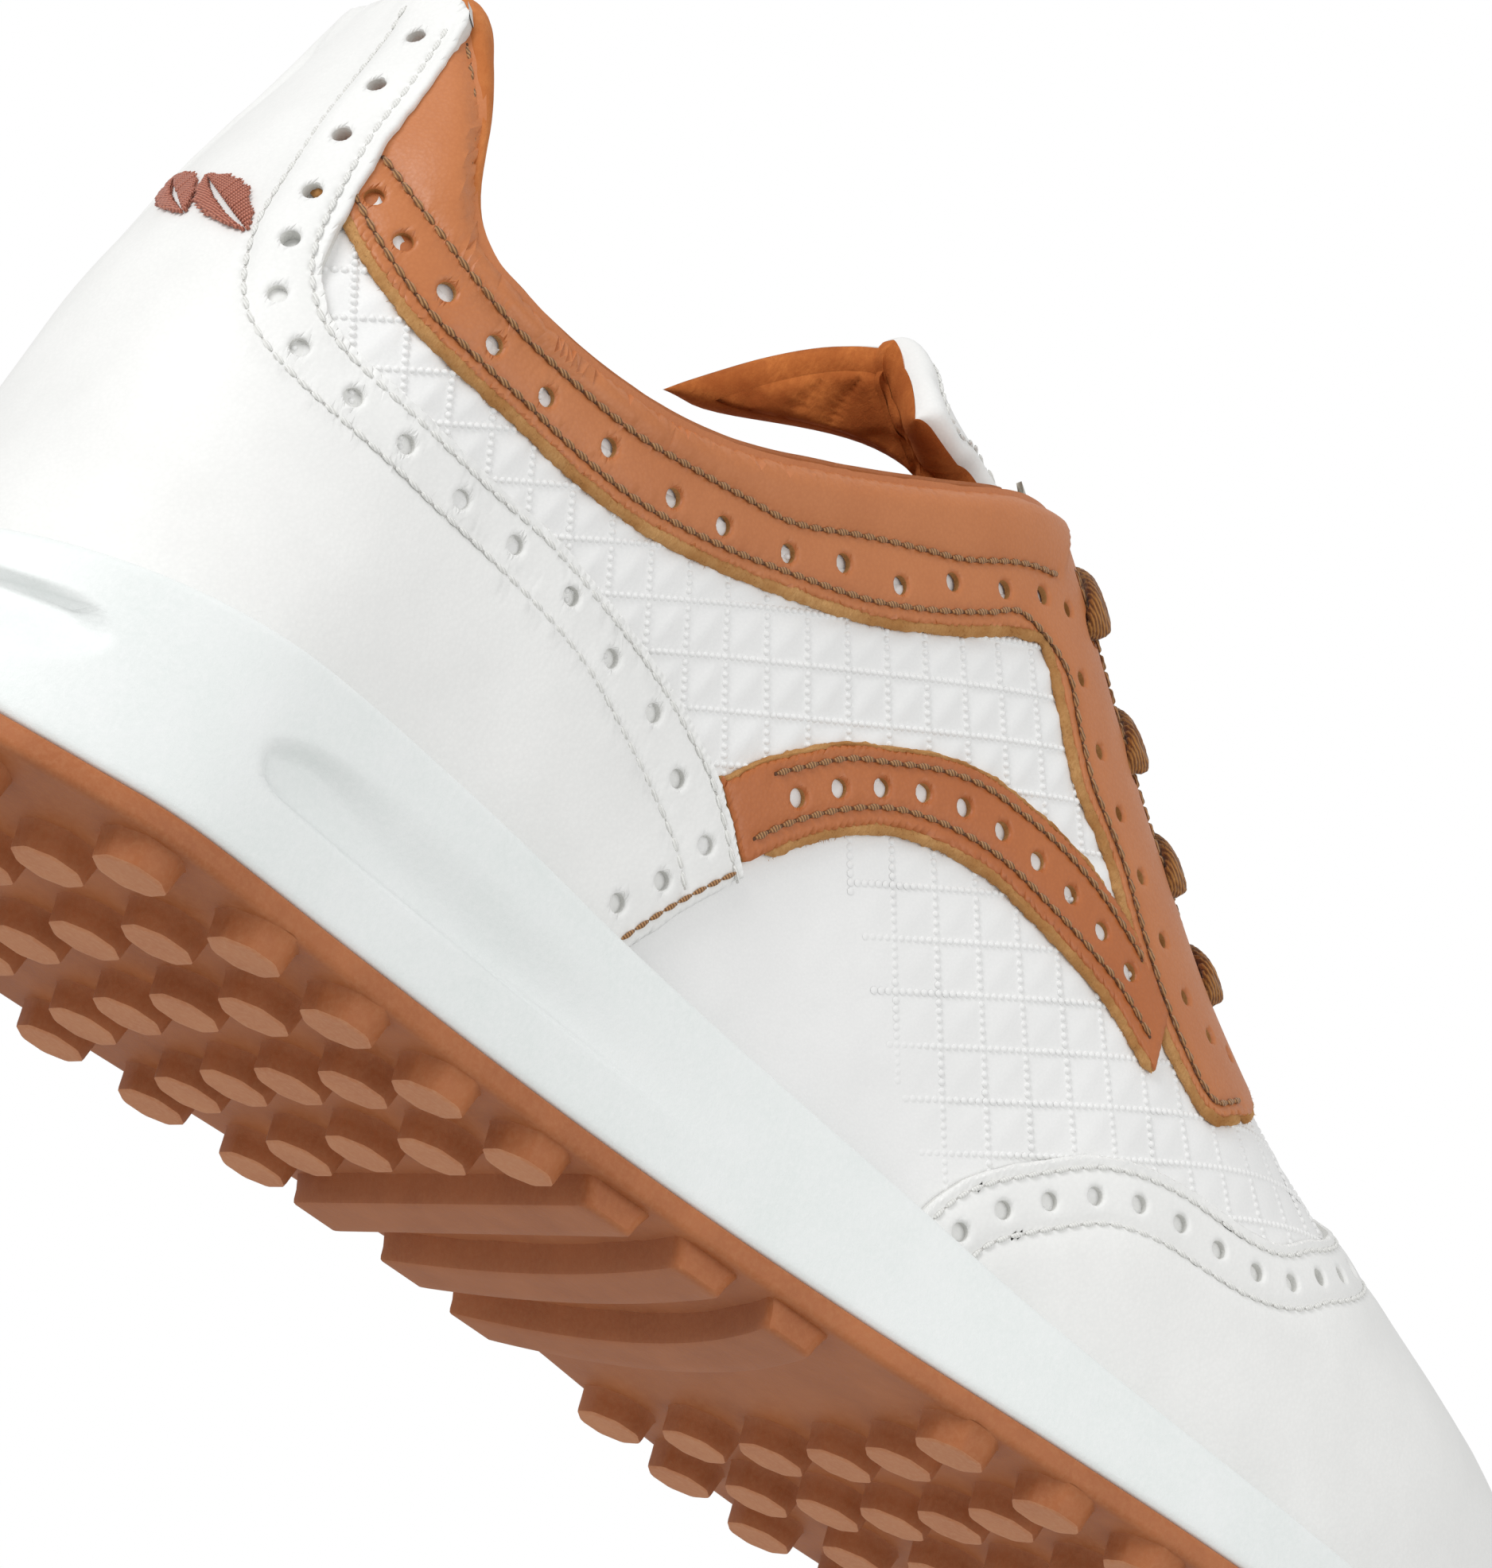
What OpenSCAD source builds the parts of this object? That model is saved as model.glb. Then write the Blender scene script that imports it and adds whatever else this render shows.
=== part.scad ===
// Low-cut laced golf shoe for the right foot: white leather with cognac leather
// bands, white cup midsole and a gum outsole with octagonal traction nubs.
// +X toe, +Y inner side of the foot, +Z up, origin on the ground under the middle.

/* [Sole] */
// overall length of the sole
sole_len = 280; // [250:1:320]
// height of a traction nub
nub_h = 3.4; // [2:0.1:5]
// width of a traction nub at its tip
nub_w = 8.6; // [6:0.1:11]
// thickness of the outsole sheet
plate_t = 3; // [2:0.1:5]
// width of a cross bar under the arch
bar_w = 7; // [4:0.5:10]
// width of the midsole lip around the upper
lip_w = 1.4; // [1:0.1:4]

/* [Upper] */
// thickness of a leather layer
skin = 1.2; // [0.8:0.1:2]
// thickness of the foam in the collar
collar_pad = 5; // [3:0.5:8]
// lift of the seat under the heel
seat_h = 20; // [14:0.5:26]
// thickness of the foam footbed
bed_t = 4.5; // [3:0.5:7]

/* [Laces] */
// width of the lace
lace_w = 5.6; // [4:0.2:8]
// thickness of the lace
lace_t = 2; // [1.5:0.1:4]
// radius of a lace hole
eye_r = 2.6; // [1.5:0.1:3]

/* [Hidden] */
gum = [0.55, 0.32, 0.20];
white = [0.93, 0.93, 0.92];
cool = [0.90, 0.92, 0.91];
tan_c = [0.66, 0.38, 0.20];
hx = -sole_len / 2;
tx = sole_len / 2;
plate_top = nub_h + plate_t;
gap = 0.3;

// half widths of the sole on the outer and inner side of the foot
lat_w = [[-140, 38], [-105, 40], [-80, 37], [-45, 33.5], [-25, 33], [0, 34.5],
  [30, 38.5], [60, 42], [90, 42.5], [115, 40], [140, 34]];
med_w = [[-140, 38], [-105, 40.5], [-80, 40], [-45, 36], [-20, 34], [0, 36.5],
  [20, 41], [42, 44.5], [70, 43.5], [95, 39.5], [120, 35], [140, 30]];
mid_y = [[-140, -1.1], [-60, -1.6], [0, -2.1], [50, -1.6], [90, 0.9], [120, 3.9],
  [140, 5.9]];
// top edge of the midsole
rim_z = [[-140, 26], [-125, 28.5], [-105, 30.2], [-70, 29.4], [-45, 27], [-20, 24.6],
  [0, 22.3], [20, 19.3], [40, 17.3], [60, 16], [90, 15], [115, 16.5], [140, 21]];
// curl of the sole away from the ground at heel and toe
curl_z = [[-140, 5], [-128, 1.2], [-117, 0], [-108, 0], [45, 0], [58, 0], [82, 1],
  [110, 4.5], [140, 11]];
// height of the foot's ridge line, running on upwards over the open mouth
ridge_z = [[-140, 168], [-100, 160], [-60, 146], [-30, 132], [-5, 114], [20, 92],
  [45, 72.5], [70, 60.5], [95, 52], [115, 46], [140, 39]];
full_p = [[-140, 2.5], [-60, 2.5], [-20, 2.3], [30, 2.1], [80, 2.2], [140, 2.4]];
// forward lean of the heel at each height
lean_x = [[0, 0.6], [24, 0.8], [32, 2.4], [44, 5], [56, 6.8], [70, 8.8], [90, 13.8],
  [110, 20], [130, 25], [170, 29]];
// top line of the collar, lower edge of the tan band, cut edge of the heel piece
top_z = [[-140, 117], [-131, 115.5], [-125, 108], [-119, 99.5], [-113.5, 90], [-108, 85.4],
  [-99.6, 83.3], [-91, 82.5], [-82, 82.6], [-75, 83.2], [-60, 87], [-45, 94], [-30, 102.6],
  [-18, 110], [-9, 114]];
band_z = [[-126, 82.5], [-120, 77.4], [-116.8, 75.4], [-110.7, 72.6], [-102, 71],
  [-93, 70.4], [-84, 69.7], [-72, 69.8], [-60, 72], [-45, 76.5], [-34, 80.6], [-23, 86.6],
  [-12, 93.5], [-8, 95]];
heel_z = [[-128.2, 112], [-127, 104.3], [-125.7, 92], [-124.2, 83.5], [-122.8, 75.3],
  [-121, 68.8], [-113.6, 62.4], [-103.7, 60.1], [-92, 58.8], [-70, 57.8], [-58, 56.6],
  [-50, 54], [-44, 50.8], [-36, 43.5]];
stripe_hi = [[-46, 48], [-41, 55.5], [-36, 60.5], [-31, 64.8], [-25, 68], [-19, 71],
  [-12, 73.2], [-4, 73.7], [6, 73], [13, 71.3], [20, 68.5]];
stripe_lo = [[-46, 34], [-37, 44.8], [-33, 50], [-28, 55], [-21.5, 59.6], [-15, 62],
  [-6, 63.3], [3, 62.4], [11, 61], [17, 59.4], [22, 57], [30, 53]];
// facing beside the laces, as shares of the way from sole to ridge
face_lo = [[-9, 0.55], [-5, 0.54], [3, 0.5], [12, 0.5], [21, 0.46], [30, 0.44],
  [38, 0.46], [44, 0.56]];
face_hi = [[-9, 0.82], [0, 0.82], [20, 0.81], [32, 0.84], [38, 0.9], [44, 1]];
// toe cap edge: place along the shoe for each share of the way to the ridge
cap_x = [[0, 1], [0.08, 5.5], [0.16, 14.5], [0.24, 24], [0.31, 35], [0.37, 47],
  [0.5, 58], [0.7, 67], [0.88, 68], [1, 64]];
eye_x = [0.5, 13.7, 26, 37.5];
// edge of the tongue as a share of the way to the ridge
tongue_t = [[-30, 0.61], [-25, 0.65], [-20, 0.72], [-14, 0.836], [-8, 0.78], [4, 0.72], [50, 0.72]];

function seg(p, x, i = 0) = (i >= len(p) - 2 || x < p[i + 1][0]) ? i : seg(p, x, i + 1);
function slope(p, i) = (p[i + 1][1] - p[i][1]) / (p[i + 1][0] - p[i][0]);
function tang(p, i) = i <= 0 ? slope(p, 0) : i >= len(p) - 1 ? slope(p, len(p) - 2) :
  (slope(p, i - 1) * (p[i + 1][0] - p[i][0]) + slope(p, i) * (p[i][0] - p[i - 1][0]))
  / (p[i + 1][0] - p[i - 1][0]);
function lim(v, a, b) = max(a, min(b, v));
function herm(p, x, i, h, t) = (1 + 2 * t) * pow(1 - t, 2) * p[i][1]
  + t * pow(1 - t, 2) * h * tang(p, i) + t * t * (3 - 2 * t) * p[i + 1][1]
  + t * t * (t - 1) * h * tang(p, i + 1);
function at(p, x) = let(c = lim(x, p[0][0], p[len(p) - 1][0]), i = seg(p, c),
  h = p[i + 1][0] - p[i][0]) herm(p, c, i, h, (c - p[i][0]) / h);
function mix(a, b, t) = a + (b - a) * t;
function flip(fs) = [for (q = fs) [q[0], q[2], q[1]]];

// plan outline of the sole
function endcap(x, a, b, hr, hp, tr, tp) =
  pow(max(0, 1 - pow(lim((a + hr - x) / hr, 0, 1), hp)), 1 / hp)
  * pow(max(0, 1 - pow(lim((x - b + tr) / tr, 0, 1), tp)), 1 / tp);
function half_w(x, s, inset) = (at(s < 0 ? lat_w : med_w, x) - inset)
  * endcap(x, hx + inset, tx - inset, 40, 2.3, 60, 2.2);
function sole_x(u, inset) = mix(hx + inset, tx - inset, (1 - cos(180 * u)) / 2);
function ring_pt(k, n, inset, z) = let(s = k <= n ? -1 : 1, u = k <= n ? k / n : 2 - k / n,
  x = sole_x(u, inset)) [x, at(mid_y, x) + s * half_w(x, s, inset), z + at(curl_z, x)];

// stacked rings from the list of [inset, height function value by ring]
module stack(n, rings) {
  m = 2 * n;
  pts = [for (r = rings) for (k = [0:m - 1]) r[0] == 0 ? ring_pt(k, n, r[1], r[2])
    : let(q = ring_pt(k, n, r[1], 0)) [q[0], q[1], r[0] == 1 ? at(rim_z, q[0]) + r[2]
    : at(curl_z, q[0]) + seat(q[0]) + r[2]]];
  side = [for (i = [0:len(rings) - 2]) for (k = [0:m - 1]) let(a = i * m + k,
    b = i * m + (k + 1) % m) each [[a, b, b + m], [a, b + m, a + m]]];
  top = (len(rings) - 1) * m;
  low = [for (k = [1:n - 1]) let(a = k, b = k + 1, c = m - k - 1, d = (m - k) % m)
    each (k == n - 1 ? [[a, d, b]] : [[a, c, b], [a, d, c]])];
  cap0 = concat([[0, m - 1, 1]], low);
  hi = [for (f = cap0) [f[0] + top, f[2] + top, f[1] + top]];
  polyhedron(pts, flip(concat(side, cap0, hi)), convexity = 6);
}

// level of the seat under the footbed, above the curl line
function seat(x) = at([[-140, 20], [-60, seat_h - 0.6], [0, 14.5], [60, 10.5],
  [140, 10.5]], x);

// upper surface: s side, x along, t share of the way to the ridge, o offset outwards
xa = hx + 5.8;
xb = tx - 5.8;
function up_w(x, s) = (at(s < 0 ? lat_w : med_w, x) - 5.6)
  * endcap(x, xa, xb, 34, 2.3, 56, 2.2);
function up_foot(x) = seat(x) + 0.05 + at(curl_z, x);
function up_h(x) = let(k = lim((x - xb + 34) / 34, 0, 1)) (at(ridge_z, x) - up_foot(x))
  * (0.4 + 0.6 * sqrt(max(0, 1 - pow(k, 2.2))));
function lean(x, z) = pow(lim((-x - 50) / 83, 0, 1), 1.3) * at(lean_x, z);
function unit(v) = v / norm(v);
function normal_at(x, s, t) = let(w = max(up_w(x, s), 0.01), h = up_h(x), p = at(full_p, x),
  cy = pow(cos(90 * t), 2 / p), cz = pow(sin(90 * t), 2 / p), e = 0.4,
  dw = (up_w(x + e, s) - up_w(x - e, s)) / (2 * e),
  dh = (up_h(x + e) - up_h(x - e)) / (2 * e))
  (x <= xa + 0.01) ? [-1, 0, 0] : (x >= xb - 0.01) ? [1, 0, 0] :
  unit([-pow(cy, p) * dw / w - pow(cz, p) * dh / h, s * pow(cy, p - 1) / w,
  pow(cz, p - 1) / h]);
// the heel narrows above the sole
function ease(k) = let(c = lim(k, 0, 1)) c * c * (3 - 2 * c);
function slim(x, z) = 1 - 0.12 * ease((-60 - x) / 60) * ease((z - 28) / 32);
function up(s, x, t, o = 0) = let(p = at(full_p, x), z = up_foot(x) + up_h(x)
  * pow(sin(90 * t), 2 / p), y = s * up_w(x, s) * slim(x, z) * pow(cos(90 * t), 2 / p))
  [x + lean(x, z), at(mid_y, x) + y, z] + o * normal_at(x, s, t);
// share of the way to the ridge for a height
function t_of(x, z) = let(k = lim((z - up_foot(x)) / up_h(x), 0, 1))
  asin(pow(k, at(full_p, x) / 2)) / 90;

// a curved sheet from a grid of points: f(i, j, layer), layer 0 inside, 1 outside
module sheet(ni, nj, f) {
  row = nj + 1;
  lay = (ni + 1) * row;
  pts = [for (l = [0, 1]) for (i = [0:ni]) for (j = [0:nj]) f(i, j, l)];
  face = [for (i = [0:ni - 1]) for (j = [0:nj - 1]) let(a = i * row + j)
    each [[a, a + 1, a + row + 1], [a, a + row + 1, a + row],
    [lay + a, lay + a + row + 1, lay + a + 1], [lay + a, lay + a + row, lay + a + row + 1]]];
  ends = [for (j = [0:nj - 1]) let(a = j, b = ni * row + j)
    each [[a, lay + a + 1, a + 1], [a, lay + a, lay + a + 1],
    [b, b + 1, lay + b + 1], [b, lay + b + 1, lay + b]]];
  rims = [for (i = [0:ni - 1]) let(a = i * row, b = i * row + nj)
    each [[a, a + row, lay + a + row], [a, lay + a + row, lay + a],
    [b, lay + b + row, b + row], [b, lay + b, lay + b + row]]];
  polyhedron(pts, flip(concat(face, ends, rims)), convexity = 8);
}

// side sheet between two height shares, side s, from x0 to x1
module side_sheet(s, ni, nj, x0, x1, lo, hi, o0, o1) {
  f = function (i, j, l) let(x = mix(x0, x1, (s < 0 ? i : ni - i) / ni))
    up(s, x, mix(lo(x), hi(x), j / nj), l == 0 ? o0 : o1);
  sheet(ni, nj, f);
}

// sheet over both sides that is open along the ridge before row it and joined after it;
// f(s, i, j, layer); tip closes it to a line at the toe
module saddle_sheet(ni, nj, it, f, tip = false) {
  row = nj + 1;
  sd = (ni + 1) * row;
  lay = 2 * sd;
  pts = [for (l = [0, 1]) for (s = [-1, 1]) for (i = [0:ni]) for (j = [0:nj]) f(s, i, j, l)];
  v = function (s, i, j, l) l * lay + ((s > 0 && !(j == nj && i >= it)
    && !(tip && i == ni)) ? sd : 0) + i * row + j;
  quad = function (a, b, c, d, s) s < 0 ? [[a, b, c], [a, c, d]] : [[a, c, b], [a, d, c]];
  face = [for (s = [-1, 1]) for (i = [0:ni - 1]) for (j = [0:nj - 1]) each concat(
    quad(v(s, i, j, 0), v(s, i, j + 1, 0), v(s, i + 1, j + 1, 0), v(s, i + 1, j, 0), s),
    quad(v(s, i, j, 1), v(s, i + 1, j, 1), v(s, i + 1, j + 1, 1), v(s, i, j + 1, 1), s))];
  first = [for (s = [-1, 1]) for (j = [0:nj - 1]) each
    quad(v(s, 0, j, 0), v(s, 0, j, 1), v(s, 0, j + 1, 1), v(s, 0, j + 1, 0), s)];
  last = tip ? [] : [for (s = [-1, 1]) for (j = [0:nj - 1]) each
    quad(v(s, ni, j, 0), v(s, ni, j + 1, 0), v(s, ni, j + 1, 1), v(s, ni, j, 1), s)];
  foot = [for (s = [-1, 1]) for (i = [0:ni - 1]) each
    quad(v(s, i, 0, 0), v(s, i + 1, 0, 0), v(s, i + 1, 0, 1), v(s, i, 0, 1), s)];
  slit = it <= 0 ? [] : [for (s = [-1, 1]) for (i = [0:it - 1]) each
    quad(v(s, i, nj, 0), v(s, i, nj, 1), v(s, i + 1, nj, 1), v(s, i + 1, nj, 0), s)];
  raw = concat(face, first, last, foot, slit);
  ok = [for (q = raw) if (q[0] != q[1] && q[1] != q[2] && q[0] != q[2]) q];
  polyhedron(pts, flip(ok), convexity = 10);
}

// sheet round the heel from the outer side to the inner side
function heel_station(i, n, xf) = let(u = 2 * i / n - 1, k = 1 - abs(u))
  [u < 0 ? -1 : 1, mix(xf, xa, 1 - pow(1 - k, 2))];
module heel_sheet(n, nj, xf, lo, hi, o0, o1) {
  f = function (i, j, l) let(q = heel_station(i, n, xf), x = q[1])
    up(q[0], x, mix(lo(x), hi(x), j / nj), l == 0 ? o0(x, j / nj) : o1(x, j / nj));
  sheet_rev(n, nj, f);
}
module sheet_rev(ni, nj, f) {
  g = function (i, j, l) f(ni - i, j, l);
  sheet(ni, nj, g);
}

module nub(x, y) {
  z = at(curl_z, x);
  translate([x, y, z]) rotate([0, 0, 22.5])
    cylinder(h = nub_h + 0.8, d1 = nub_w, d2 = nub_w + 1.2, $fn = 8);
}
module nub_row(xc, bow, n, edge) {
  a = -(half_w(xc, -1, 0) - edge);
  b = half_w(xc, 1, 0) - edge;
  for (k = [0:n - 1]) {
    y = mix(a, b, k / (n - 1));
    nub(xc + bow * pow(y / 36, 2), y + at(mid_y, xc));
  }
}
module bar(xc, bow) {
  n = 6;
  a = -(half_w(xc, -1, 0) - 2.2);
  b = half_w(xc, 1, 0) - 2.2;
  pts = [for (k = [0:n]) let(v = mix(a, b, k / n), x = xc - bow * pow(v / 34, 2),
    y = v + at(mid_y, xc), w = bar_w / 2 - (k == 0 || k == n ? 1 : 0))
    each [[x - w, y, 0], [x + w, y, 0], [x + w + 1.6, y, nub_h + 0.8],
    [x - w - 1.6, y, nub_h + 0.8]]];
  side = [for (k = [0:n - 1]) for (c = [0:3]) let(p = 4 * k + c, q = 4 * k + (c + 1) % 4)
    each [[p, q, q + 4], [p, q + 4, p + 4]]];
  e = 4 * n;
  ends = [[0, 2, 1], [0, 3, 2], [e, e + 1, e + 2], [e, e + 2, e + 3]];
  polyhedron(pts, concat(side, ends), convexity = 4);
}
module outsole() {
  color(gum) union() {
    stack(34, [[0, 1.2, nub_h], [0, 0, nub_h + 1], [0, 0, plate_top]]);
    nub_row(-125.5, 4, 4, 8);
    nub_row(-110, 5, 6, 6);
    nub_row(-94.5, 6, 6, 6);
    nub_row(-79.3, 6, 6, 6);
    nub_row(-63.5, 5, 6, 6);
    nub_row(-48.6, 5, 5, 6);
    bar(-34, 0);
    bar(-18, 3);
    bar(-1.8, 6);
    nub_row(24.3, -6.5, 6, 6);
    nub_row(39.5, -6.5, 7, 6);
    nub_row(54.5, -6.5, 6, 6);
    nub_row(69.5, -6.5, 7, 6);
    nub_row(84.5, -6, 6, 6);
    nub_row(99.5, -6, 5, 6);
    nub_row(114, -5, 4, 6.5);
    nub_row(127, -4, 3, 6.5);
  }
}
module midsole() {
  color(cool) stack(38, [[0, 0.6, plate_top + 0.12], [0, 0.2, plate_top + 4], [1, 1.2, -1.2],
    [1, 1.9, 0], [1, 1.9 + lip_w, 0], [2, 2.1 + lip_w, 0]]);
}
module insole_board() {
  color([0.78, 0.74, 0.66]) stack(30, [[2, 12, 0.02], [2, 12, 1.5]]);
}
module footbed_foam() {
  color([0.80, 0.80, 0.78]) stack(30, [[2, 14, 1.64], [2, 14, 1.64 + bed_t]]);
}
module footbed_cover() {
  color(tan_c) stack(30, [[2, 14, 1.7 + bed_t], [2, 14.2, 2.6 + bed_t]]);
}
foot_t = function (x) 0;
low_t = function (x) 0.02;
module heel_counter() {
  hi = function (x) t_of(x, min(at(heel_z, x) - 4, 66));
  a = function (x, k) -skin - 1.1;
  b = function (x, k) -skin - 0.05;
  color([0.62, 0.60, 0.56]) heel_sheet(28, 5, -80, low_t, hi, a, b);
}
module heel_overlay() {
  lo = function (x) x < -46 ? 0 : t_of(x, mix(27, 43, (x + 46) / 9.5));
  hi = function (x) t_of(x, min(at(top_z, x) - 0.6, x < -128.2 ? 200 : at(heel_z, x)));
  a = function (x, k) 0;
  b = function (x, k) skin;
  color(white) heel_sheet(52, 9, -36.6, lo, hi, a, b);
}
module quarter(s) {
  lo = function (x) x < -44 ? t_of(x, at(heel_z, min(x, -50)) - 7)
    : t_of(x, at(stripe_lo, x) + 2.8);
  hi = function (x) x < -9 ? t_of(x, at(band_z, x) + 6) : at(face_lo, x) + 0.06;
  color(white) side_sheet(s, 30, 6, -122, 16.2, lo, hi, -skin, -0.04);
}
module quarter_lateral() {
  quarter(-1);
}
module quarter_medial() {
  quarter(1);
}
module vamp() {
  x0 = -52;
  xm = 44;
  um = 0.78;
  hi = function (x) x < 20 ? t_of(x, at(stripe_lo, x) + 1)
    : at(face_lo, x) + 0.05 + 0.39 * pow((x - 20) / 24, 3);
  f = function (s, i, j, l) let(u = i / 18, k = j / 8, th = u < um ?
    min(1, hi(mix(x0, xm, u / um))) : 1, top = u < um ? mix(x0, xm, u / um)
    : mix(xm, 73, (u - um) / (1 - um)), w = (at(cap_x, k) - 1) / 63)
    up(s, mix(mix(x0, 10, u), top, w), th * k, l == 0 ? -skin - 0.1 : -0.3);
  color(white) saddle_sheet(18, 8, 15, f);
}
module toe_cap() {
  f = function (s, i, j, l) let(t = j / 9, u = i / 14, k = 1 - pow(1 - u, 1.7))
    up(s, mix(at(cap_x, t), xb, k), t, l == 0 ? 0 : skin);
  color(white) saddle_sheet(14, 9, 0, f, true);
}
module toe_puff() {
  f = function (s, i, j, l) let(t = j / 7, u = i / 9, k = 1 - pow(1 - u, 1.7))
    up(s, mix(at(cap_x, t) + 22, xb, k), t, l == 0 ? -skin : -0.4);
  color([0.62, 0.60, 0.56]) saddle_sheet(9, 7, 0, f, true);
}
module vamp_lining() {
  f = function (s, i, j, l) let(x = mix(-13.6, xb, 1 - pow(1 - i / 20, 1.5)),
    t = (x < 46 ? min(at(face_hi, x), 0.8) + 0.2 * pow(lim((x - 30) / 16, 0, 1), 2) : 1)
    * j / 7) up(s, x, min(t, 1), (l == 0 ? -skin - 1.6 : -skin - 0.8)
    - 0.4 * lim((x - 24) / 10, 0, 1) - lim((x - 30) / 8, 0, 1));
  color([0.86, 0.84, 0.80]) saddle_sheet(20, 7, lining_row(0), f, true);
}
// first row of the vamp lining that lies beyond the throat
function lining_row(i) = mix(-13.6, xb, 1 - pow(1 - i / 20, 1.5)) >= 46 ? i
  : lining_row(i + 1);
module eye_bores(s) {
  for (x = eye_x) {
    p = up(s, x, 0.74, 0);
    n = normal_at(x, s, 0.74);
    translate(p - 4 * n) rotate([0, acos(n[2]), atan2(n[1], n[0])])
      cylinder(h = 9, r = eye_r, $fn = 12);
  }
}
module collar_band(s) {
  lo = function (x) x < -9 ? t_of(x, max(at(band_z, x), x < -112 ? at(heel_z, x) + 1.3
    : 0)) : at(face_lo, x);
  hi = function (x) x < -9 ? t_of(x, at(top_z, x)) : at(face_hi, x) - 0.01;
  color(tan_c) difference() {
    side_sheet(s, 42, 4, -125.2, 43, lo, hi, 0, skin);
    eye_bores(s);
  }
}
module collar_band_lateral() {
  collar_band(-1);
}
module collar_band_medial() {
  collar_band(1);
}
module saddle_stripe(s) {
  lo = function (x) t_of(x, at(stripe_lo, x));
  hi = function (x) min(t_of(x, at(stripe_hi, x)), at(face_lo, x) - 0.006);
  color(tan_c) side_sheet(s, 18, 3, -36.3, 23, lo, hi, 0, skin);
}
module saddle_stripe_lateral() {
  saddle_stripe(-1);
}
module saddle_stripe_medial() {
  saddle_stripe(1);
}
// padded collar: foam behind the band and the leather lining over it
function top_t(x) = t_of(x, at(top_z, x));
function pad(x, t) = let(k = t / top_t(x)) collar_pad * (k < 0.5 ? 0.7 * k
  : 0.35 + 0.65 * sin(111.6 * min(1, (k - 0.5) / 0.5)));
module collar_sheet(nj, lo, hi, a, b) {
  f = function (i, j, l) let(q = heel_station(i, 52, -14), x = q[1],
    t = mix(lo(x), hi(x), j / nj)) up(q[0], x, t, l == 0 ? a(x, t) : b(x, t));
  sheet_rev(52, nj, f);
}
module collar_foam() {
  lo = function (x) t_of(x, max(at(band_z, x) - 4, at(top_z, x) - 32));
  hi = function (x) top_t(x) - 0.012;
  a = function (x, t) -skin - 0.75 - pad(x, t);
  b = function (x, t) -skin - 0.15;
  color([0.85, 0.80, 0.55]) collar_sheet(5, lo, hi, a, b);
}
module collar_lining() {
  a = function (x, t) -skin - 2.1 - pad(x, t);
  b = function (x, t) -skin - 1.2 - pad(x, t);
  hi = function (x) top_t(x);
  color(tan_c) collar_sheet(8, low_t, hi, a, b);
}
// tongue under the facings; its inner corner reaches further back
function tongue_wing(s, x, t) = (s > 0 ? 19 * pow(lim((0.9 - t) / 0.42, 0, 1), 1.5)
  : 2 * (1 - t)) * ease((-6 - x) / 24);
function tongue_edge(s, x) = at(tongue_t, x) - (s > 0 ? 0.13 * ease((-18 - x) / 10) : 0);
function tongue_sink(x, t) = 2.4 * lim((x - 20) / 10, 0, 1)
  + 4 * ease((-4 - x) / 20) * lim((t - 0.5) / 0.25, 0, 1);
module tongue_layer(c, x0, o0, o1, slim) {
  f = function (s, i, j, l) let(x = mix(x0, 50, i / 14), t = mix(tongue_edge(s, x) + slim, 1, j / 6))
    up(s, x - tongue_wing(s, x, t), t, (l == 0 ? o0 : o1) - tongue_sink(x, t));
  color(c) saddle_sheet(14, 6, 0, f);
}
module tongue_shell() {
  tongue_layer(white, -30, -4.3, -3.2, 0);
}
module tongue_foam() {
  tongue_layer([0.85, 0.80, 0.55], -29.4, -8, -4.55, 0.02);
}
module tongue_lining() {
  tongue_layer(tan_c, -30, -9.2, -8.25, 0);
}
// lace: one cord, over the gap at each pair of holes and under the facing between rows;
// each station holds place, direction of the width, half width, half thickness
ridge_dir = unit([1, 0, -0.75]);
function rise(s, x) = unit(up(s, x, 0.75, 0) - up(s, x, 0.73, 0));
function lace_end(s, x, d) = let(q = rise(s, x)) [
  [up(s, x + 3.6 * d, 0.74, -0.75), q, 2, 0.5],
  [up(s, x + 1.1 * d, 0.74, -0.55), q, 1.8, 0.6],
  [up(s, x, 0.742, 0.8), unit(q + ridge_dir), 1.5, 1.1],
  [up(s, x, 0.757, 2.1), ridge_dir, 2.1, lace_t / 2],
  [up(s, x, 0.8, 2.45), ridge_dir, lace_w / 2, lace_t / 2],
  [up(s, x, 0.88, 2.45), ridge_dir, lace_w / 2, lace_t / 2]];
function turned(v) = [for (i = [len(v) - 1:-1:0]) v[i]];
function lace_row(k, s) = concat(lace_end(s, eye_x[k], -1),
  [[up(s, eye_x[k], 1, 2.45), ridge_dir, lace_w / 2, lace_t / 2]],
  turned(lace_end(-s, eye_x[k], k < len(eye_x) - 1 ? 1 : -1)));
lace_path = [for (k = [0:len(eye_x) - 1]) each lace_row(k, k % 2 == 0 ? -1 : 1)];
module lace() {
  n = len(lace_path);
  m = 8;
  pts = [for (i = [0:n - 1]) let(d = unit(lace_path[min(n - 1, i + 1)][0]
    - lace_path[max(0, i - 1)][0]), u = unit(cross(lace_path[i][1], d)), w = cross(d, u))
    for (q = [0:m - 1]) let(a = 360 * (q + 0.5) / m) lace_path[i][0]
    + w * cos(a) * lace_path[i][2] + u * sin(a) * lace_path[i][3]];
  side = [for (i = [0:n - 2]) for (q = [0:m - 1]) let(a = i * m + q,
    b = i * m + (q + 1) % m) each [[a, b, b + m], [a, b + m, a + m]]];
  ends = [for (q = [1:m - 2]) each [[0, q + 1, q], [(n - 1) * m, (n - 1) * m + q,
    (n - 1) * m + q + 1]]];
  color(tan_c) polyhedron(pts, flip(concat(side, ends)), convexity = 12);
}
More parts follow.
